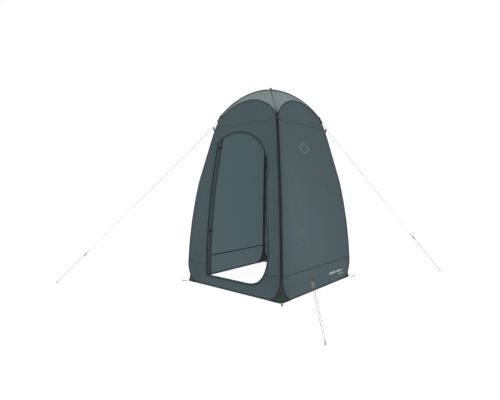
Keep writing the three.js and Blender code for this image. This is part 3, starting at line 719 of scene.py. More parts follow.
def guyRoute(guy):
    start, peg, along, across, runner, tie, _ = guyFrame(guy)
    half = guyLook["strandGap"] / 2
    long = guyLook["runner"]
    points = [tie, tie.lerp(start, 0.35), tie.lerp(start, 0.85), start, start.lerp(runner, 0.02)]
    points += [start.lerp(runner, share) for share in (0.25, 0.5, 0.75)]
    near = runner - along * long * 1.6
    points.append(near - along * 0.060)
    points.append(near + across * half * 0.85)
    points.append(runner - along * long * 0.7 + across * half)
    points.append(runner + along * long * 0.7 + across * half)
    bend = peg - along * half
    points.append(runner.lerp(bend, 0.5) + across * half)
    for i in range(9):
        turn = math.pi * i / 8
        points.append(bend + across * half * math.cos(turn) + along * half * math.sin(turn))
    points.append(runner.lerp(bend, 0.5) - across * half)
    points.append(runner + along * long * 0.7 - across * half)
    points.append(runner - along * (long / 2 + guyLook["tail"]) - across * half)
    return points


def evenLine(points, perSpan, least):
    # straight spans need few steps, bends keep theirs
    line = smoothLine(points, perSpan)
    kept = [line[0]]
    for point in line[1:-1]:
        if (point - kept[-1]).length > least:
            kept.append(point)
    return kept + [line[-1]]


knotLook = dict(radius=0.0030, thread=0.0012, steps=36)


def knotMesh(centre, axis):
    # an overhand knot pulled tight
    side = axis.orthogonal().normalized()
    other = axis.cross(side)
    points = []
    for turn in turnsRound(knotLook["steps"]):
        flat = knotLook["radius"] * (0.62 + 0.38 * math.cos(3 * turn))
        lift = knotLook["radius"] * 0.75 * math.sin(3 * turn)
        place = side * flat * math.cos(2 * turn) + other * flat * math.sin(2 * turn) + axis * lift
        points.append(centre + place)
    return sweptMesh(points, [axis] * len(points), roundProfile(knotLook["thread"], 6), closed=True)


def addGuyLines():
    for guy in guys:
        name = guy["name"]
        start, peg, along, across, runner, tie, out = guyFrame(guy)
        route = guyRoute(guy)
        path = evenLine(route, 12, 0.0022)
        upper = across.cross(along)
        normals = [upper if abs(alongAt(path, i).dot(upper)) < 0.9 else along for i in range(len(path))]
        mesh = sweptMesh(path, normals, roundProfile(guyLook["radius"], guyLook["sides"]))
        cord = finishPiece(mesh, "cord_" + name, [braid, greyBraid], ("guy_line_" + name,))
        for face in mesh.polygons:
            face.material_index = int(face.center.z > start.z)     # grey above the tab
        tieKnot = finishPiece(knotMesh(tie, out), "tie_knot_" + name, [greyBraid])
        endKnot = finishPiece(knotMesh(route[-1], along), "end_knot_" + name, [braid])
        grip = softenedCopy("guy_runner_" + name, "runner_" + name, 0.0009, greyPlastic,
                            "runner_" + name, (along, across))
        stake = pegPiece("guy_stake_" + name, "guy_peg_" + name, boxCentre("guy_peg_" + name), along)
        total = sum((b - a).length for a, b in zip(route, route[1:]))
        tuple(tie)
        [tuple(p) for p in path]


# steel pegs, from the ground line up

pegLook = dict(radius=0.002, rise=0.024, hook=0.007, tip=0.006, strand=0.0055, inLoop=0.050 - 0.0025)


def pegRoute(out, foot):
    lean = (out + upwards).normalized()
    back = (upwards - out).normalized()
    base = Vector((foot.x, foot.y, pegLook["radius"] * math.sqrt(0.5) + 0.00005))
    points = [base, base + lean * pegLook["rise"] * 0.5, base + lean * pegLook["rise"] * 0.9]
    centre = base + lean * pegLook["rise"] + back * pegLook["hook"]
    for i in range(13):
        turn = math.pi * i / 12
        reach = lean * pegLook["hook"] * math.sin(turn)
        points.append(centre - back * pegLook["hook"] * math.cos(turn) + reach)
    points.append(centre + back * pegLook["hook"] - lean * pegLook["tip"])
    return points, out.cross(upwards)


def pegPiece(name, node, foot, along, isGuy=True):
    out = Vector((along.x, along.y, 0)).normalized()
    if isGuy:
        guy = next(g for g in guys if node.endswith(g["name"]))
        bend = Vector((*guy["peg"], guyLook["pegBend"]))
        within = guyLook["strandGap"] / 2 - guyLook["radius"] - pegLook["radius"] - 0.0005
        turnPoint = bend + along * (within - guyLook["strandGap"] / 2)
        foot = turnPoint - out * turnPoint.z
    points, side = pegRoute(out, foot)
    mesh = sweptMesh(points, [side] * len(points), roundProfile(pegLook["radius"], 14))
    return finishPiece(mesh, name, [pegSteel], (node,))


addGuyLines()
for i, name in enumerate(cornerNames):
    foot = turned(overCorner(tent["corner"], 0) + diagonal * pegLook["inLoop"], i)
    pegPiece("corner_stake_" + name, "corner_peg_" + name, foot, turned(diagonal, i), False)
print("guy lines and pegs laid")


# door opening outline, in the wall

door = dict(
    archX=-0.070, archZ=1.040, radius=0.442, start=121, end=-7, side=0.447, sideLow=0.400,
    sill=0.105, cornerRun=0.227, hinge=-0.315, zip=0.010,
)
archTilt = math.atan2(straightHalf(tent["planeLow"]) - straightHalf(tent["planeHigh"]), 0.5)


def zipLine(offset, arcSteps=64, cornerSteps=24):
    points = []
    radius = door["radius"] + offset
    rise = radius * math.cos(archTilt)
    for i in range(arcSteps + 1):
        turn = math.radians(mix(door["start"], door["end"], i / arcSteps))
        points.append((door["archX"] + radius * math.cos(turn), door["archZ"] + rise * math.sin(turn)))
    side, sill = door["side"] + offset, door["sill"] - offset
    top = points[-1]
    points += [(mix(top[0], side, i / 16), mix(top[1], door["sideLow"], i / 16)) for i in range(1, 16)]
    for i in range(cornerSteps + 1):
        t = i / cornerSteps
        x = cubic(t, side, side, side - door["cornerRun"] / 3, side - door["cornerRun"])
        points.append((x, cubic(t, door["sideLow"], mix(door["sideLow"], sill, 2 / 3), sill, sill)))
    last = points[-1][0]
    points += [(mix(last, door["hinge"], i / 16), sill) for i in range(1, 17)]
    return points


def doorOutline(offset):
    zipped = zipLine(offset)
    left = [(door["hinge"], mix(zipped[-1][1], zipped[0][1], i / 40)) for i in range(1, 40)]
    return zipped + left


# wall cloth: one continuous sheet in each hoop, pulled tight with a few soft folds

wallLook = dict(
    step=0.0105, sag=0.007, seams=(0.215, 1.550), underSleeve=0.004,
    fold=0.0040, foldAcross=3.1, foldUp=1.3,
    crease=0.0016, creaseAcross=11, creaseUp=3.4,
    pull=0.0016, pullRays=15, pullReach=0.16,
    pullsFrom=((-0.5, 0.12), (0.5, 0.12), (-0.36, 1.62), (0.36, 1.62)),
    pucker=0.0008, puckerReach=0.014, puckerPitch=0.038,
)


def wallSeed(quarters):
    return 1.7 + 3.1 * quarters


def foldDepth(x, z, seed):
    look = wallLook
    side = max(hoopSide(min(z, hoop["spring"])), 0.1)
    belly = max(0.0, 1 - (x / side) ** 2) * math.sin(math.pi * min(max(z / hoop["top"], 0), 1))
    depth = -look["sag"] * belly
    soft = Vector((x * look["foldAcross"] + seed, z * look["foldUp"], seed * 2.0))
    slant = Vector((x * look["creaseAcross"] + z * 3, z * look["creaseUp"] - x * 2, seed + 5.0))
    depth += look["fold"] * noise.noise(soft)
    depth += look["crease"] * noise.noise(slant)
    for cornerX, cornerZ in look["pullsFrom"]:
        dx, dz = x - cornerX, z - cornerZ
        far = math.hypot(dx, dz)
        turn = math.atan2(dz, dx) * look["pullRays"] + seed
        ray = math.sin(turn + 2 * noise.noise(Vector((far * 5, seed, cornerX))))
        depth += look["pull"] * ray * math.exp(-far / look["pullReach"]) * smoothStep(0, 0.06, far)
    for seam in look["seams"]:
        near = math.exp(-abs(z - seam) / look["puckerReach"])
        drift = 3 * noise.noise(Vector((x * 9, seed, seam)))
        depth += look["pucker"] * near * math.sin(x * 2 * math.pi / look["puckerPitch"] + drift)
    return depth


def insideOutline(points, outline):
    # even-odd test for many points at once
    x, z = points[:, 0], points[:, 1]
    inside = np.zeros(len(points), bool)
    for (ax, az), (bx, bz) in zip(outline, outline[1:] + outline[:1]):
        if az == bz:
            continue
        crossing = (az > z) != (bz > z)
        inside ^= crossing & (x < (bx - ax) * (z - az) / (bz - az) + ax)
    return inside


def treeOf(points):
    tree = KDTree(len(points))
    for i, (x, z) in enumerate(points):
        tree.insert((x, z, 0), i)
    tree.balance()
    return tree


doorTree = treeOf(zipLine(0) + doorOutline(0))


def wallPoint(x, z, seed, lift=0.0, withDoor=False, edgeTree=None):
    fade = 1.0
    if edgeTree:
        fade = smoothStep(0.004, 0.05, edgeTree.find((x, z, 0))[2])
    if withDoor:
        fade *= smoothStep(0.008, 0.07, doorTree.find((x, z, 0))[2])
    normal = wallNormal(z)
    return Vector((x, -wallHalf(z), z)) + normal * (lift + fade * foldDepth(x, z, seed))


hoopEdge = moveInwards(hoopLoop(), wallLook["underSleeve"])
hoopTree = treeOf(hoopEdge)


def wallMesh(quarters, withDoor, seed):
    step = wallLook["step"]
    outlines = [hoopEdge] + ([doorOutline(door["zip"] / 2 - 0.001)] if withDoor else [])
    points, edges = [], []
    for outline in outlines:
        start = len(points)
        points += outline
        edges += [(start + i, start + (i + 1) % len(outline)) for i in range(len(outline))]
    edgeTree = treeOf(points)
    columns = np.arange(-0.6, 0.6, step)
    rows = np.arange(step, hoop["top"], step)
    grid = np.array([(x + (step / 2 if k % 2 else 0), z) for k, z in enumerate(rows) for x in columns])
    grid = grid[insideOutline(grid, hoopEdge)]
    if withDoor:
        grid = grid[~insideOutline(grid, outlines[1])]
    points = points + [(x, z) for x, z in grid if edgeTree.find((x, z, 0))[2] > step * 0.55]
    flat, _, faces, *_ = delaunay_2d_cdt([Vector(p) for p in points], edges, [], 1, 1e-6)
    flatArray = np.array([tuple(p) for p in flat])
    middles = np.array([flatArray[list(f)].mean(0) for f in faces])
    keep = insideOutline(middles, hoopEdge)
    if withDoor:
        keep &= ~insideOutline(middles, outlines[1])
    bm = bmesh.new()
    uvLayer = bm.loops.layers.uv.new("weave")
    places = [turned(wallPoint(x, z, seed, 0, withDoor, hoopTree), quarters) for x, z in flatArray]
    verts = [bm.verts.new(place) for place in places]
    for face, kept in zip(faces, keep):
        if kept:
            made = bm.faces.new([verts[i] for i in face])
            for loop, i in zip(made.loops, face):
                loop[uvLayer].uv = flat[i]
    bmesh.ops.delete(bm, geom=[v for v in bm.verts if not v.link_faces], context="VERTS")
    bm.normal_update()
    outward = turned(Vector((0, -1, 0)), quarters)
    if sum(f.normal.dot(outward) for f in bm.faces) < 0:
        bmesh.ops.reverse_faces(bm, faces=bm.faces)
    return meshFrom(bm, "wall")


def thicken(piece, thick=None):
    solid = piece.modifiers.new("thickness", "SOLIDIFY")
    solid.thickness = thick or tent["cloth"]
    solid.offset = 0
    return piece


def outlineArea(outline):
    sides = zip(outline, outline[1:] + outline[:1])
    return abs(sum(a[0] * b[1] - b[0] * a[1] for a, b in sides)) / 2


def addWalls():
    for i, name in enumerate(wallNames):
        mesh = wallMesh(i, i == 0, wallSeed(i))
        wall = finishPiece(mesh, "cloth_wall_" + name, [wallCloth], ("wall_" + name,))
        thicken(wall)
        cut = outlineArea(hoopEdge) - (outlineArea(doorOutline(0)) if i == 0 else 0)


# hoop sleeves: round over the rod, with two sewn lips onto the cloth

def sleeveSection():
    r, lip, half = hoop["sleeve"], hoop["lip"], hoop["lipHalf"]
    arc = [(r * math.cos(a), r * math.sin(a)) for a in (math.radians(d) for d in range(60, 301, 24))]
    # side runs towards the wall's middle
    return arc + [(r * 0.95, -half * 1.6), (lip, -half), (lip, half), (r * 0.95, half * 1.6)]


def sleeveLine(loop, quarters):
    points = [turned(Vector((x, -wallHalf(z), z)), quarters) for x, z in loop]
    normals = [turned(wallNormal(z), quarters) for _, z in loop]
    return points, normals


def sewnRow(loop, quarters, lift):
    points, normals = sleeveLine(loop, quarters)
    side = 1 if lift > 0 else -1
    return [p + n * lift for p, n in zip(points, normals)], [n * side for n in normals], True


def addSleeves():
    section = sleeveSection()
    lipsFrom = len(section) - 4
    for i, name in enumerate(wallNames):
        points, normals = sleeveLine(hoopLoop(), i)
        mesh = sweptMesh(points, normals, section, closed=True)
        materials = [sleeveTape, wallCloth]
        sleeve = finishPiece(mesh, "sleeve_" + name, materials, ("hoop_binding_" + name,))
        for k, face in enumerate(sleeve.data.polygons):
            face.material_index = int(k % len(section) >= lipsFrom)     # the lips are the wall's own cloth
        row = moveInwards(hoopLoop(), hoop["lip"] - 0.0022)
        rows = [sewnRow(row, i, side * (hoop["lipHalf"] + 0.0001)) for side in (1, -1)]
        grownAlong(rows, stitchTree, {}, "sleeve_stitches_" + name, threadLook)


# horizontal seams of the walls, with a tape inside

def hoopWidthAt(z):
    if z < tent["split"]:
        cosine = (tent["split"] - z) / (tent["split"] - hemHeight)
        return hemX + hoop["hemRun"] * math.sqrt(max(0, 1 - cosine * cosine))
    if z < hoop["spring"]:
        return hoopSide(z)
    return hoopSide(z) * math.sqrt(max(0, 1 - ((z - hoop["spring"]) / (hoop["top"] - hoop["spring"])) ** 2))


def seamRun(z, withDoor):
    edge = hoopWidthAt(z) - 0.006
    steps = 72
    xs = [mix(-edge, edge, k / steps) for k in range(steps + 1)]
    if not withDoor or z > 1.5:
        return [xs]
    rightEdge = max(x for x, level in zipLine(door["zip"] / 2) if abs(level - z) < 0.02)
    spans = ((-edge, door["hinge"] - 0.006), (rightEdge + 0.003, edge))
    return [[mix(start, end, k / 30) for k in range(31)] for start, end in spans]


seamLook = dict(
    outside=(0.008, 0.0008), inside=(0.011, 0.0010),       # width and thickness
    rowGap=0.0025, rowLift=0.0009, spacing=0.0052,
)


def addSeams():
    onCloth = tent["cloth"] / 2
    for i, name in enumerate(wallNames):
        for label, tape, z in zip(("band", "crown"), (seamTape, bandSeam), wallLook["seams"]):
            normal = turned(wallNormal(z), i)
            stitches = []
            for k, xs in enumerate(seamRun(z, i == 0)):
                points = [turned(wallPoint(x, z, wallSeed(i), 0, i == 0, hoopTree), i) for x in xs]
                suffix = name if k == 0 else name + "_right"
                section = flatProfile(*seamLook["outside"], onCloth)
                outside = sweptMesh(points, [normal] * len(points), section)
                finishPiece(outside, label + "_seam_" + suffix, [wallCloth])
                section = flatProfile(*seamLook["inside"], onCloth)
                inside = sweptMesh(points, [-normal] * len(points), section)
                finishPiece(inside, label + "_tape_" + suffix, [tape])
                for offset in (-seamLook["rowGap"], seamLook["rowGap"]):
                    for side in (1, -1):
                        lift = side * (onCloth + seamLook["rowLift"])
                        row = [p + upwards * offset + normal * lift for p in points]
                        stitches.append((row, [normal * side] * len(row), False))
            sizes = {"Spacing": seamLook["spacing"]}
            grownAlong(stitches, stitchTree, sizes, label + "_stitches_" + name, threadLook)


# corner seams between neighbouring hoops

cornerTape = dict(reach=0.0095, thick=0.0022, low=0.180, steps=60)


def addCornerSeams():
    for i, name in enumerate(cornerNames):
        points = []
        for k in range(cornerTape["steps"] + 1):
            z = mix(cornerTape["low"], tent["shoulder"] + 0.018, k / cornerTape["steps"])
            points.append(turned(overCorner(wallHalf(z) - 0.0045, z), i))
        w, t = cornerTape["reach"], cornerTape["thick"]
        low = -w * 0.35
        edge = low + t * 0.7
        section = [(-w, low), (0, -t / 2), (w, low), (w, edge), (0.002, t), (-0.002, t), (-w, edge)]
        mesh = sweptMesh(points, [turned(diagonal, i)] * len(points), section)
        finishPiece(mesh, "corner_seam_" + name, [sleeveTape])
        rows = []
        out, side = turned(diagonal, i), turned(crossways, i)
        for shift in (-0.005, 0.005):
            row = [p + side * shift + out * 0.0006 for p in points]
            rows.append((row, [out] * len(row), False))
        grownAlong(rows, stitchTree, {}, "corner_stitches_" + name, threadLook)


# roof gores: taut cloth between a wall's arch and the crown

goreLook = dict(
    across=96, between=30, start=14, under=0.004, archClear=0.003, archSink=0.003, seamClear=0.0004,
    ripple=0.0016, ripples=44, hang=0.015,
)


def roofGorePoint(u, v, archLeft, seed):
    start = math.radians(goreLook["start"])
    turn = mix(start, math.pi - start, u)
    x, z = hoopArch(turn)
    nextX, nextZ = hoopArch(turn + 0.01)
    out = Vector((nextZ - z, x - nextX)).normalized() * goreLook["under"]
    lower = Vector((x + out.x, -wallHalf(z + out.y), z + out.y))
    onArch = turn > quarter if archLeft else turn < quarter
    t = 1 - abs(turn - quarter) / quarter
    half, top = archPoint(t) if onArch else seamPoint(t)
    side = -1 if onArch == archLeft else 1
    back, stop = (goreLook["archClear"], goreLook["seamClear"])
    if not onArch:
        back, stop = stop, back
    reach = max(half, stop * math.sqrt(0.5))
    shift = back * math.sqrt(0.5)
    upper = Vector((side * (reach - shift), -reach - shift, top - (goreLook["archSink"] if onArch else 0)))
    place = lower.lerp(upper, v)
    span = (upper - lower).length
    fade = math.sin(math.pi * v) * smoothStep(0, 0.1, span)
    ripple = goreLook["ripple"] * math.sin(u * goreLook["ripples"] + seed) * (0.3 + 0.7 * v)
    ripple *= noise.noise(Vector((u * 6, v * 2, seed)))
    return place + upwards * fade * (ripple - goreLook["hang"] * span)


def patchMesh(at, across, between, widthScale, heightScale):
    bm = bmesh.new()
    uvLayer = bm.loops.layers.uv.new("weave")
    rows = [[at(i / across, j / between) for i in range(across + 1)] for j in range(between + 1)]
    verts = [[bm.verts.new(place) for place in row] for row in rows]
    for j in range(between):
        for i in range(across):
            quad = ((i, j), (i + 1, j), (i + 1, j + 1), (i, j + 1))
            face = bm.faces.new([verts[b][a] for a, b in quad])
            for loop, (a, b) in zip(face.loops, quad):
                loop[uvLayer].uv = (widthScale * a / across, heightScale * b / between)
    bm.normal_update()
    middle = sum((f.calc_center_median() for f in bm.faces), Vector()) / len(bm.faces)
    inward = Vector((0, 0, min(middle.z, 1.2))) - middle
    if sum(f.normal.dot(inward) * f.calc_area() for f in bm.faces) > 0:
        bmesh.ops.reverse_faces(bm, faces=bm.faces)
    area = sum(f.calc_area() for f in bm.faces)
    return meshFrom(bm, "patch"), area


def addGores():
    for i, name in enumerate(wallNames):
        def at(u, v, i=i):
            return turned(roofGorePoint(u, v, i % 2 == 0, 2.3 * i), i)
        mesh, area = patchMesh(at, goreLook["across"], goreLook["between"], 0.9, 0.35)
        gore = finishPiece(mesh, "roof_cloth_" + name, [roofCloth], ("roof_gore_" + name,))
        thicken(gore)


# roof arch sleeve, and the two plain seams that cross it

archLook = dict(
    radius=0.0062, reach=0.0105, drop=0.0032, tape=0.0014, under=0.0028, start=0.030, steps=60,
    rowOut=0.0085, rowDrop=0.0010,
    seam=(0.009, 0.0016, -0.0010), seamSteps=40, seamRow=0.0028, seamLift=0.0008,
)


def addRoofLines():
    across = turned(crossways, 3)
    run = []
    steps = archLook["steps"]
    for i in range(2 * steps + 1):
        share = i / steps if i <= steps else 2 - i / steps
        half, z = archPoint(mix(archLook["start"], 1, share))
        side = -1 if i <= steps else 1
        run.append(Vector((side * half, side * half, z)))
    outs = []
    for i in range(len(run)):
        along = alongAt(run, i)
        outs.append(across.cross(along) if across.cross(along).z > 0 else along.cross(across))
    r, w, t = archLook["radius"], archLook["reach"], archLook["drop"]
    lip = archLook["tape"] - t
    section = [(r * math.cos(a), r * math.sin(a)) for a in (math.radians(d) for d in range(-10, 191, 20))]
    section = [(w, -t), (w, lip)] + section[1:-1] + [(-w, lip), (-w, -t), (0, -t - archLook["under"])]
    mesh = sweptMesh(run, outs, section)
    finishPiece(mesh, "arch_sleeve", [sleeveTape], ("roof_arch_binding",))
    rows = []
    for shift in (-archLook["rowOut"], archLook["rowOut"]):
        row = [p + across * shift - n * archLook["rowDrop"] for p, n in zip(run, outs)]
        rows.append((row, outs, False))
    count = archLook["seamSteps"]
    for k, name in ((0, "front_right"), (2, "back_left")):
        seam = [turned(overCorner(*seamPoint(mix(0.02, 0.985, i / count))), k) for i in range(count + 1)]
        along = (seam[-1] - seam[0]).normalized()
        out = along.cross(turned(crossways, k)).normalized()
        out = out if out.z > 0 else -out
        tape = sweptMesh(seam, [out] * len(seam), flatProfile(*archLook["seam"]))
        finishPiece(tape, "roof_seam_" + name, [seamTape])
        for shift in (-archLook["seamRow"], archLook["seamRow"]):
            row = [p + turned(crossways, k) * shift + out * archLook["seamLift"] for p in seam]
            rows.append((row, [out] * len(row), False))
    grownAlong(rows, stitchTree, {}, "roof_stitches", threadLook)


# lower corners: cloth from one hoop round to the next

gussetLook = dict(columns=44, rows=30, roundness=0.022, under=0.004, wave=0.0022, waves=16)


def gussetPoint(u, v, seed):
    top = tent["split"] + 0.002
    z = top * v
    corner = wallHalf(z) - 0.0004
    inside = max(hoopWidthAt(max(z, hemHeight)) + gussetLook["under"], hemX)
    inside = min(inside, corner - 0.004)
    radius = min(gussetLook["roundness"], (corner - inside) * 0.6)
    straight = corner - radius - inside
    arc = radius * quarter
    run = (2 * straight + arc) * u
    turn = min(max((run - straight) / radius, 0), quarter)
    if run < straight:
        x, y = inside + run, corner
    elif run > straight + arc:
        x, y = corner, corner - radius - (run - straight - arc)
    else:
        x, y = corner - radius + radius * math.sin(turn), corner - radius + radius * math.cos(turn)
    drawn = tent["pinch"] * math.sin(math.pi * z / tent["split"]) * math.sin(math.pi * u)
    x -= drawn * math.sin(turn)
    y -= drawn * math.cos(turn)
    wave = gussetLook["wave"] * math.sin(u * gussetLook["waves"] + seed) * math.sin(math.pi * u)
    wave *= (1 - v) * smoothStep(0, 0.02, corner - inside)
    return Vector((x - wave * 0.7, -y + wave * 0.7, z))


def addGussets():
    for i, name in enumerate(cornerNames):
        def at(u, v, i=i):
            return turned(gussetPoint(u, v, 1.3 * i), i)
        mesh, area = patchMesh(at, gussetLook["columns"], gussetLook["rows"], 0.29, 0.184)
        stoodFor = ("corner_gusset_" + name,)
        gusset = finishPiece(mesh, "corner_cloth_" + name, [gussetCloth], stoodFor)
        thicken(gusset, 0.0008)
        hem = [at(u / 40, 0.006) for u in range(41)]
        outs = [turned(diagonal, i)] * len(hem)
        tape = sweptMesh(hem, outs, [(-0.001, -0.0012), (0.010, -0.0012), (0.010, 0.0012), (-0.001, 0.0012)])
        finishPiece(tape, "corner_hem_" + name, [seamTape])


# zip round the door opening

def zipPlace(x, z, lift=0.0):
    return Vector((x, -wallHalf(z), z)) + wallNormal(z) * lift


zipLook = dict(
    thick=0.0011, ease=0.001, teethIn=0.0004, rowIn=0.0016, coverOut=0.006, cover=(0.012, 0.0009),
    coverLift=0.0006, coverRow=0.009, coverRowLift=0.0017, spacing=0.0048,
)


def alongZip(offset, lift=0.0, side=1):
    # points and normals beside the zip, as one open line
    outline = zipLine(offset)
    return [zipPlace(x, z, lift) for x, z in outline], [wallNormal(z) * side for _, z in outline], False


def addZip():
    w, t = door["zip"] / 2, zipLook["thick"]
    points, normals, _ = alongZip(0)
    mesh = sweptMesh(points, normals, wovenProfile(w, -t, t, zipLook["ease"]))
    finishPiece(mesh, "zip_tape", [zipTape], ("door_zip",))
    grownAlong([alongZip(-w - zipLook["teethIn"])], toothTree, {}, "zip_teeth", coilLook)
    rows = [alongZip(w - zipLook["rowIn"], side * (t + 0.0001), side) for side in (1, -1)]
    points, normals, _ = alongZip(w + zipLook["coverOut"], zipLook["coverLift"])
    cover = sweptMesh(points, normals, flatProfile(*zipLook["cover"]))
    finishPiece(cover, "zip_facing", [bandSeam])
    rows.append(alongZip(w + zipLook["coverRow"], zipLook["coverRowLift"]))
    grownAlong(rows, stitchTree, {"Spacing": zipLook["spacing"]}, "zip_stitches", threadLook)
    softenedCopy("zip_slider", "slider", 0.0004, sliderMetal, "zip_slider")
    softenedCopy("zip_pull", "pull", 0.0004, blackPlastic, "zip_pull")


# door, rolled up and tied back at its sewn edge

roll = dict(
    x=-0.294, behind=0.019, low=0.108, high=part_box("door_roll")[1].z + 0.004, radius=0.0158, core=0.0030,
    turns=13, width=0.762, tieRadius=0.0132, columns=400, rows=84,
    topTie=boxCentre("door_tie_upper").z, lowTie=boxCentre("door_tie_lower").z,
)


def rollAxis(z):
    return Vector((roll["x"], -wallHalf(z) + roll["behind"], z))


def doorTopAt(s):
    x = door["hinge"] + s
    reach = (x - door["archX"]) / door["radius"]
    if abs(reach) < 1:
        return door["archZ"] + door["radius"] * math.cos(archTilt) * math.sqrt(1 - reach * reach)
    return mix(door["archZ"], door["sideLow"], min((x - 0.372) / (door["side"] - 0.372), 1))


def doorLowAt(s):
    x = door["hinge"] + s
    start = door["side"] - door["cornerRun"]
    t = max(0, (x - start) / door["cornerRun"])
    return door["sill"] + (door["sideLow"] - door["sill"]) * min(t, 1) ** 3


def rolledDoorMesh():
    turns, spread = roll["turns"], roll["radius"] - roll["core"]
    total = math.pi * turns * (roll["radius"] + roll["core"])
    hingeLead = 0.14           # share of the first turn that leaves the wall

    def at(u, v):
        turn = 2 * math.pi * turns * u
        s = total * u * (1 - 0.5 * u * spread / roll["radius"])
        s = s / (total * (1 - 0.5 * spread / roll["radius"])) * roll["width"]
        top = min(doorTopAt(s), roll["high"])
        low = max(doorLowAt(s), roll["low"])
        z = mix(low, top, v)
        radius = roll["radius"] - spread * u
        slack = noise.noise(Vector((turn * 0.45, z * 4.2, 3.0)))
        slack += 0.5 * noise.noise(Vector((turn * 0.8, z * 11, 8.0)))
        radius *= 1 + 0.10 * slack * (1 - u * 0.6)
        for tie in (roll["topTie"], roll["lowTie"]):
            radius *= 1 - (1 - roll["tieRadius"] / roll["radius"]) * math.exp(-((z - tie) / 0.035) ** 2)
        angle = math.radians(150) - turn
        centre = rollAxis(z)
        place = centre + Vector((radius * math.cos(angle), -radius * math.sin(angle), 0))
        lead = smoothStep(0, 1, turn / (2 * math.pi * hingeLead))
        if lead < 1:
            sewn = Vector((door["hinge"] - 0.001, -wallHalf(z) + 0.002, z))
            place = sewn.lerp(place, lead)
        return place

    return patchMesh(at, roll["columns"], roll["rows"], roll["width"], 1.33)


def addRolledDoor():
    mesh, area = rolledDoorMesh()
    rolled = finishPiece(mesh, "rolled_door", [shadedRollCloth], ("door_roll",))
    thicken(rolled, 0.0005)
    cut = outlineArea(doorOutline(0))
    heights = [mix(door["sill"] - 0.004, doorTopAt(0), k / 60) for k in range(61)]
    seam = [zipPlace(door["hinge"] - 0.005, z, 0.0004) for z in heights]
    normals = [wallNormal(p.z) for p in seam]
    outside = sweptMesh(seam, normals, flatProfile(0.012, 0.0010))
    finishPiece(outside, "hinge_seam", [seamTape])
    behind = [p - n * 0.0008 for p, n in zip(seam, normals)]
    inside = sweptMesh(behind, [-n for n in normals], flatProfile(0.014, 0.0010))
    tape = finishPiece(inside, "hinge_tape", [seamTape])
    rows = []
    for shift in (-0.004, 0.004):
        row = [p + Vector((shift, 0, 0)) + n * 0.0012 for p, n in zip(seam, normals)]
        rows.append((row, normals, False))
    grownAlong(rows, stitchTree, {}, "hinge_stitches", threadLook)


tie = dict(
    width=0.015, thick=0.0014, ease=0.0006, inner=0.0150, steps=40,
    toggleEnd=0.015, toggleRadius=0.004, waist=0.0026, toggleSides=24,
    elastic=0.0009, elasticWide=0.0042, elasticDeep=0.0052, elasticFront=0.0034, elasticLean=0.002,
)


def tieStrap(height):
    centre = rollAxis(height)
    along = (rollAxis(height + 0.04) - rollAxis(height - 0.04)).normalized()
    side = Vector((1, 0, 0))
    depth = along.cross(side).normalized()
    points, normals = [], []
    for turn in turnsRound(tie["steps"]):
        wobble = 1 + 0.03 * math.sin(3 * turn + height * 9)
        normal = side * math.cos(turn) + depth * math.sin(turn)
        points.append(centre + normal * tie["inner"] * wobble)
        normals.append(normal)
    section = wovenProfile(tie["width"] / 2, 0, tie["thick"], tie["ease"])
    return sweptMesh(points, normals, section, closed=True)


def toggleMesh(centre):
    # turned barrel with a waist for the elastic, lying across the roll
    end, r, waist = tie["toggleEnd"], tie["toggleRadius"], tie["waist"]
    stations = [(-end, 0.0004), (-end, r * 0.55), (-end + 0.0012, r * 0.86), (-end + 0.0032, r)]
    stations += [(-0.006, r), (-0.0032, waist * 1.12), (0, waist)]
    stations += [(-x, radius) for x, radius in reversed(stations[:-1])]
    sides = tie["toggleSides"]
    bm = bmesh.new()
    rings = []
    for x, radius in stations:
        ring = [centre + Vector((across, deep, x)) for across, deep in roundProfile(radius, sides)]
        rings.append([bm.verts.new(place) for place in ring])
    for lower, upper in zip(rings, rings[1:]):
        for k in range(sides):
            bm.faces.new((lower[k], lower[(k + 1) % sides], upper[(k + 1) % sides], upper[k]))
    bm.faces.new(list(reversed(rings[0])))
    bm.faces.new(rings[-1])
    bmesh.ops.recalc_face_normals(bm, faces=bm.faces)
    return meshFrom(bm, "toggle")


def addTies():
    for label in ("lower", "upper"):
        height = boxCentre("door_tie_" + label).z
        finishPiece(tieStrap(height), "tie_strap_" + label, [webbing], ("door_tie_" + label,))
        centre = boxCentre("door_toggle_" + label)
        finishPiece(toggleMesh(centre), "toggle_bar_" + label, [blackPlastic],
                    ("door_toggle_" + label,), "toggle_" + label)
        loop = []
        for turn in turnsRound(28):
            deep = tie["elasticFront"] + tie["elasticDeep"] * math.sin(turn)
            place = (tie["elasticWide"] * math.cos(turn), deep, tie["elasticLean"] * math.sin(turn))
            loop.append(centre + Vector(place))
        mesh = sweptMesh(loop, [upwards] * len(loop), roundProfile(tie["elastic"], 8), closed=True)
        finishPiece(mesh, "toggle_elastic_" + label, [webbing])


# webbing tabs, anchors, peg loops and the apex loop

tabLook = dict(eyelet=0.0052, wire=0.0008, eyeletLift=0.0016, eyeFromRoot=0.018, thick=0.0060, ease=0.25)
wedgeOutline = [
    (0, -0.028), (0.006, -0.030), (0.016, -0.025), (0.021, -0.016),
    (0.0125, -0.003), (0.0125, 0.006), (0, 0.018),
]


def addEyelet(name, centre, axis):
    side = axis.orthogonal().normalized()
    other = axis.cross(side)
    radius = tabLook["eyelet"]
    ring = [centre + side * radius * math.cos(a) + other * radius * math.sin(a) for a in turnsRound(28)]
    mesh = sweptMesh(ring, [axis] * len(ring), roundProfile(tabLook["wire"], 8), closed=True)
    finishPiece(mesh, name, [sliderMetal])


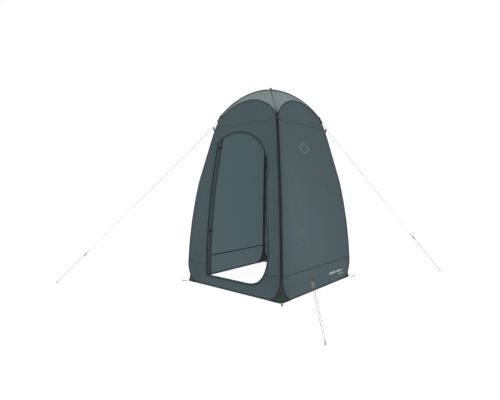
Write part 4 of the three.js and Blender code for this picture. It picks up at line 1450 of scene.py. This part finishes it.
def wedgePiece(name, outline, side, thick):
    # doubled webbing sewn into the corner seam, edge on to it
    bm = bmesh.new()
    uvLayer = bm.loops.layers.uv.new("weave")
    rings = [[bm.verts.new(point + side * shift) for point in outline] for shift in (-thick / 2, thick / 2)]
    bm.faces.new(rings[0])
    bm.faces.new(list(reversed(rings[1])))
    for k in range(len(outline)):
        after = (k + 1) % len(outline)
        bm.faces.new((rings[0][k], rings[1][k], rings[1][after], rings[0][after]))
    bmesh.ops.recalc_face_normals(bm, faces=bm.faces)
    ease = thick * tabLook["ease"]
    bmesh.ops.bevel(bm, geom=bm.edges[:], offset=ease, segments=2, affect="EDGES", profile=0.5)
    for face in bm.faces:
        for loop in face.loops:
            loop[uvLayer].uv = (loop.vert.co.z, loop.vert.co.x + loop.vert.co.y)
    finishPiece(meshFrom(bm, "wedge"), name, [webbing])


def addSoftWebbing(node, name, ease, axes=None):
    softenedCopy(node, name, ease, webbing, axes=axes)


def addWebbing():
    eyePoint, tabOut = tabEye()
    rows = []
    for i, name in enumerate(cornerNames):
        out, side, loopOut = turned(tabOut, i), turned(crossways, i), turned(diagonal, i)
        eye = turned(eyePoint, i)
        through = out.cross(side)
        addSoftWebbing("guy_tab_" + name, "line_tab_" + name, 0.0006, (out, side))
        for label, face in (("_out", 1), ("_in", -1)):
            addEyelet("tab_eyelet_" + name + label, eye + through * face * tabLook["eyeletLift"], through)
        root = eye - out * tabLook["eyeFromRoot"]
        lean = [root + out * a + upwards * b for a, b in wedgeOutline]
        wedgePiece("tab_root_" + name, lean, side, tabLook["thick"])
        addSoftWebbing("guy_anchor_" + name, "line_anchor_" + name, 0.0005, (side, upwards))
        addSoftWebbing("peg_loop_" + name, "stake_loop_" + name, 0.0005, (loopOut, side))
        start = turned(overCorner(tent["corner"], 0), i)
        for shift in (-0.0045, 0.0045):
            reach = [0.008 + 0.026 * k / 8 for k in range(9)]
            row = [start + side * shift + loopOut * far + upwards * 0.0031 for far in reach]
            rows.append((row, [upwards] * len(row), False))
    grownAlong(rows, stitchTree, {"Spacing": 0.0042}, "loop_stitches", threadLook)
    addSoftWebbing("apex_loop", "crown_loop", 0.0005)


# short ties beside the back left corner, inside

def addInnerTies():
    for label, height in (("upper", 1.19), ("lower", 0.80)):
        half = wallHalf(height)
        start = Vector((-(half - 0.016), half - 0.004, height))
        steps = [(0.018, -0.010, -0.002), (0.040, -0.012, -0.006), (0.062, -0.006, -0.010)]
        points = [start] + [start + Vector(step) for step in steps]
        run = smoothLine(points, 6)
        mesh = sweptMesh(run, [Vector((0, -1, 0))] * len(run), flatProfile(0.016, 0.0016))
        finishPiece(mesh, "wall_tie_" + label, [webbing])


# plain printed marks on the right wall

marks = dict(
    centre=-0.050, height=1.320, size=0.085, flatness=0.62, line=0.006, ink=0.0003, steps=16,
    barY=0.17, barZ=0.106,
    bars=((0.0, 0.12, 0, 0.022), (0.14, 0.13, 0.002, 0.022), (0.18, 0.10, 0.036, 0.008)),
)


def markOnWall(y, z):
    return turned(wallPoint(y, z, wallSeed(1), 0.0006, False, hoopTree), 1)


def printMark(name, line, height, wide, ink, closed=False):
    points = [markOnWall(y, z) for y, z in line]
    normal = turned(wallNormal(height), 1)
    mesh = sweptMesh(points, [normal] * len(points), flatProfile(wide, marks["ink"]), closed=closed)
    finishPiece(mesh, name, [ink])


def addMarks():
    size, count = marks["size"], marks["steps"]
    tall = size * marks["flatness"]
    corners = [(0, tall), (size, 0), (0, -tall), (-size, 0)]
    ring = []
    for (y, z), (nextY, nextZ) in zip(corners, corners[1:] + corners[:1]):
        for t in range(count):
            share = t / count
            ring.append((marks["centre"] + mix(y, nextY, share), marks["height"] + mix(z, nextZ, share)))
    printMark("print_outline", ring, marks["height"], marks["line"], faintInk, closed=True)
    for k, (start, length, drop, wide) in enumerate(marks["bars"]):
        bar = [(marks["barY"] + start + length * t / 10, marks["barZ"] - drop) for t in range(11)]
        printMark("print_bar_%d" % (k + 1), bar, marks["barZ"], wide, printInk)


addSleeves()
addWalls()
print("walls and sleeves sewn")
addSeams()
addCornerSeams()
addGussets()
addGores()
addRoofLines()
print("roof, corners and seams sewn")
addZip()
addTies()
addRolledDoor()
addWebbing()
addInnerTies()
addMarks()
print("door, ties and loops made")

for name in wallNames:
    for kind, material in (("hoop_rod_", springSteel), ("hoop_ferrule_", ferruleSteel)):
        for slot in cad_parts[kind + name].material_slots:
            slot.material = material
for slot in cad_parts["roof_arch_rod"].material_slots:
    slot.material = springSteel


# floor and light

studio = dict(
    floor=14, floorDrop=0.0006, floorTone=0.12, floorGlow=0.93, world=1.02,
    lamps=(("key", (-1.2, -3.0, 5.4), 75), ("fill", (4.5, -1.0, 3.2), 60)), lampSize=3.0, aim=1.0,
)


def addStudio():
    material, tree, shader = startMaterial("pale_floor", 0.9)
    shader.inputs["Base Color"].default_value = (*[studio["floorTone"]] * 3, 1)
    shader.inputs["Emission Color"].default_value = (1, 1, 1, 1)
    shader.inputs["Emission Strength"].default_value = studio["floorGlow"]
    mesh = bpy.data.meshes.new("floor")
    half, low = studio["floor"], -studio["floorDrop"]
    corners = [(-half, -half, low), (half, -half, low), (half, half, low), (-half, half, low)]
    mesh.from_pydata(corners, [], [(0, 1, 2, 3)])
    mesh.materials.append(material)
    floor = bpy.data.objects.new("floor", mesh)
    scene.collection.objects.link(floor)
    world = bpy.data.worlds.new("studio")
    world.use_nodes = True
    world.node_tree.nodes["Background"].inputs[0].default_value = (1, 1, 1, 1)
    world.node_tree.nodes["Background"].inputs[1].default_value = studio["world"]
    scene.world = world
    for name, place, power in studio["lamps"]:
        data = bpy.data.lights.new(name, "AREA")
        data.size = studio["lampSize"]
        data.energy = power
        lamp = bpy.data.objects.new(name, data)
        lamp.location = place
        aim = Vector((0, 0, studio["aim"])) - Vector(place)
        lamp.rotation_euler = aim.to_track_quat("-Z", "Y").to_euler()
        scene.collection.objects.link(lamp)
    scene.view_settings.view_transform = "Standard"


addStudio()
print("studio lit")
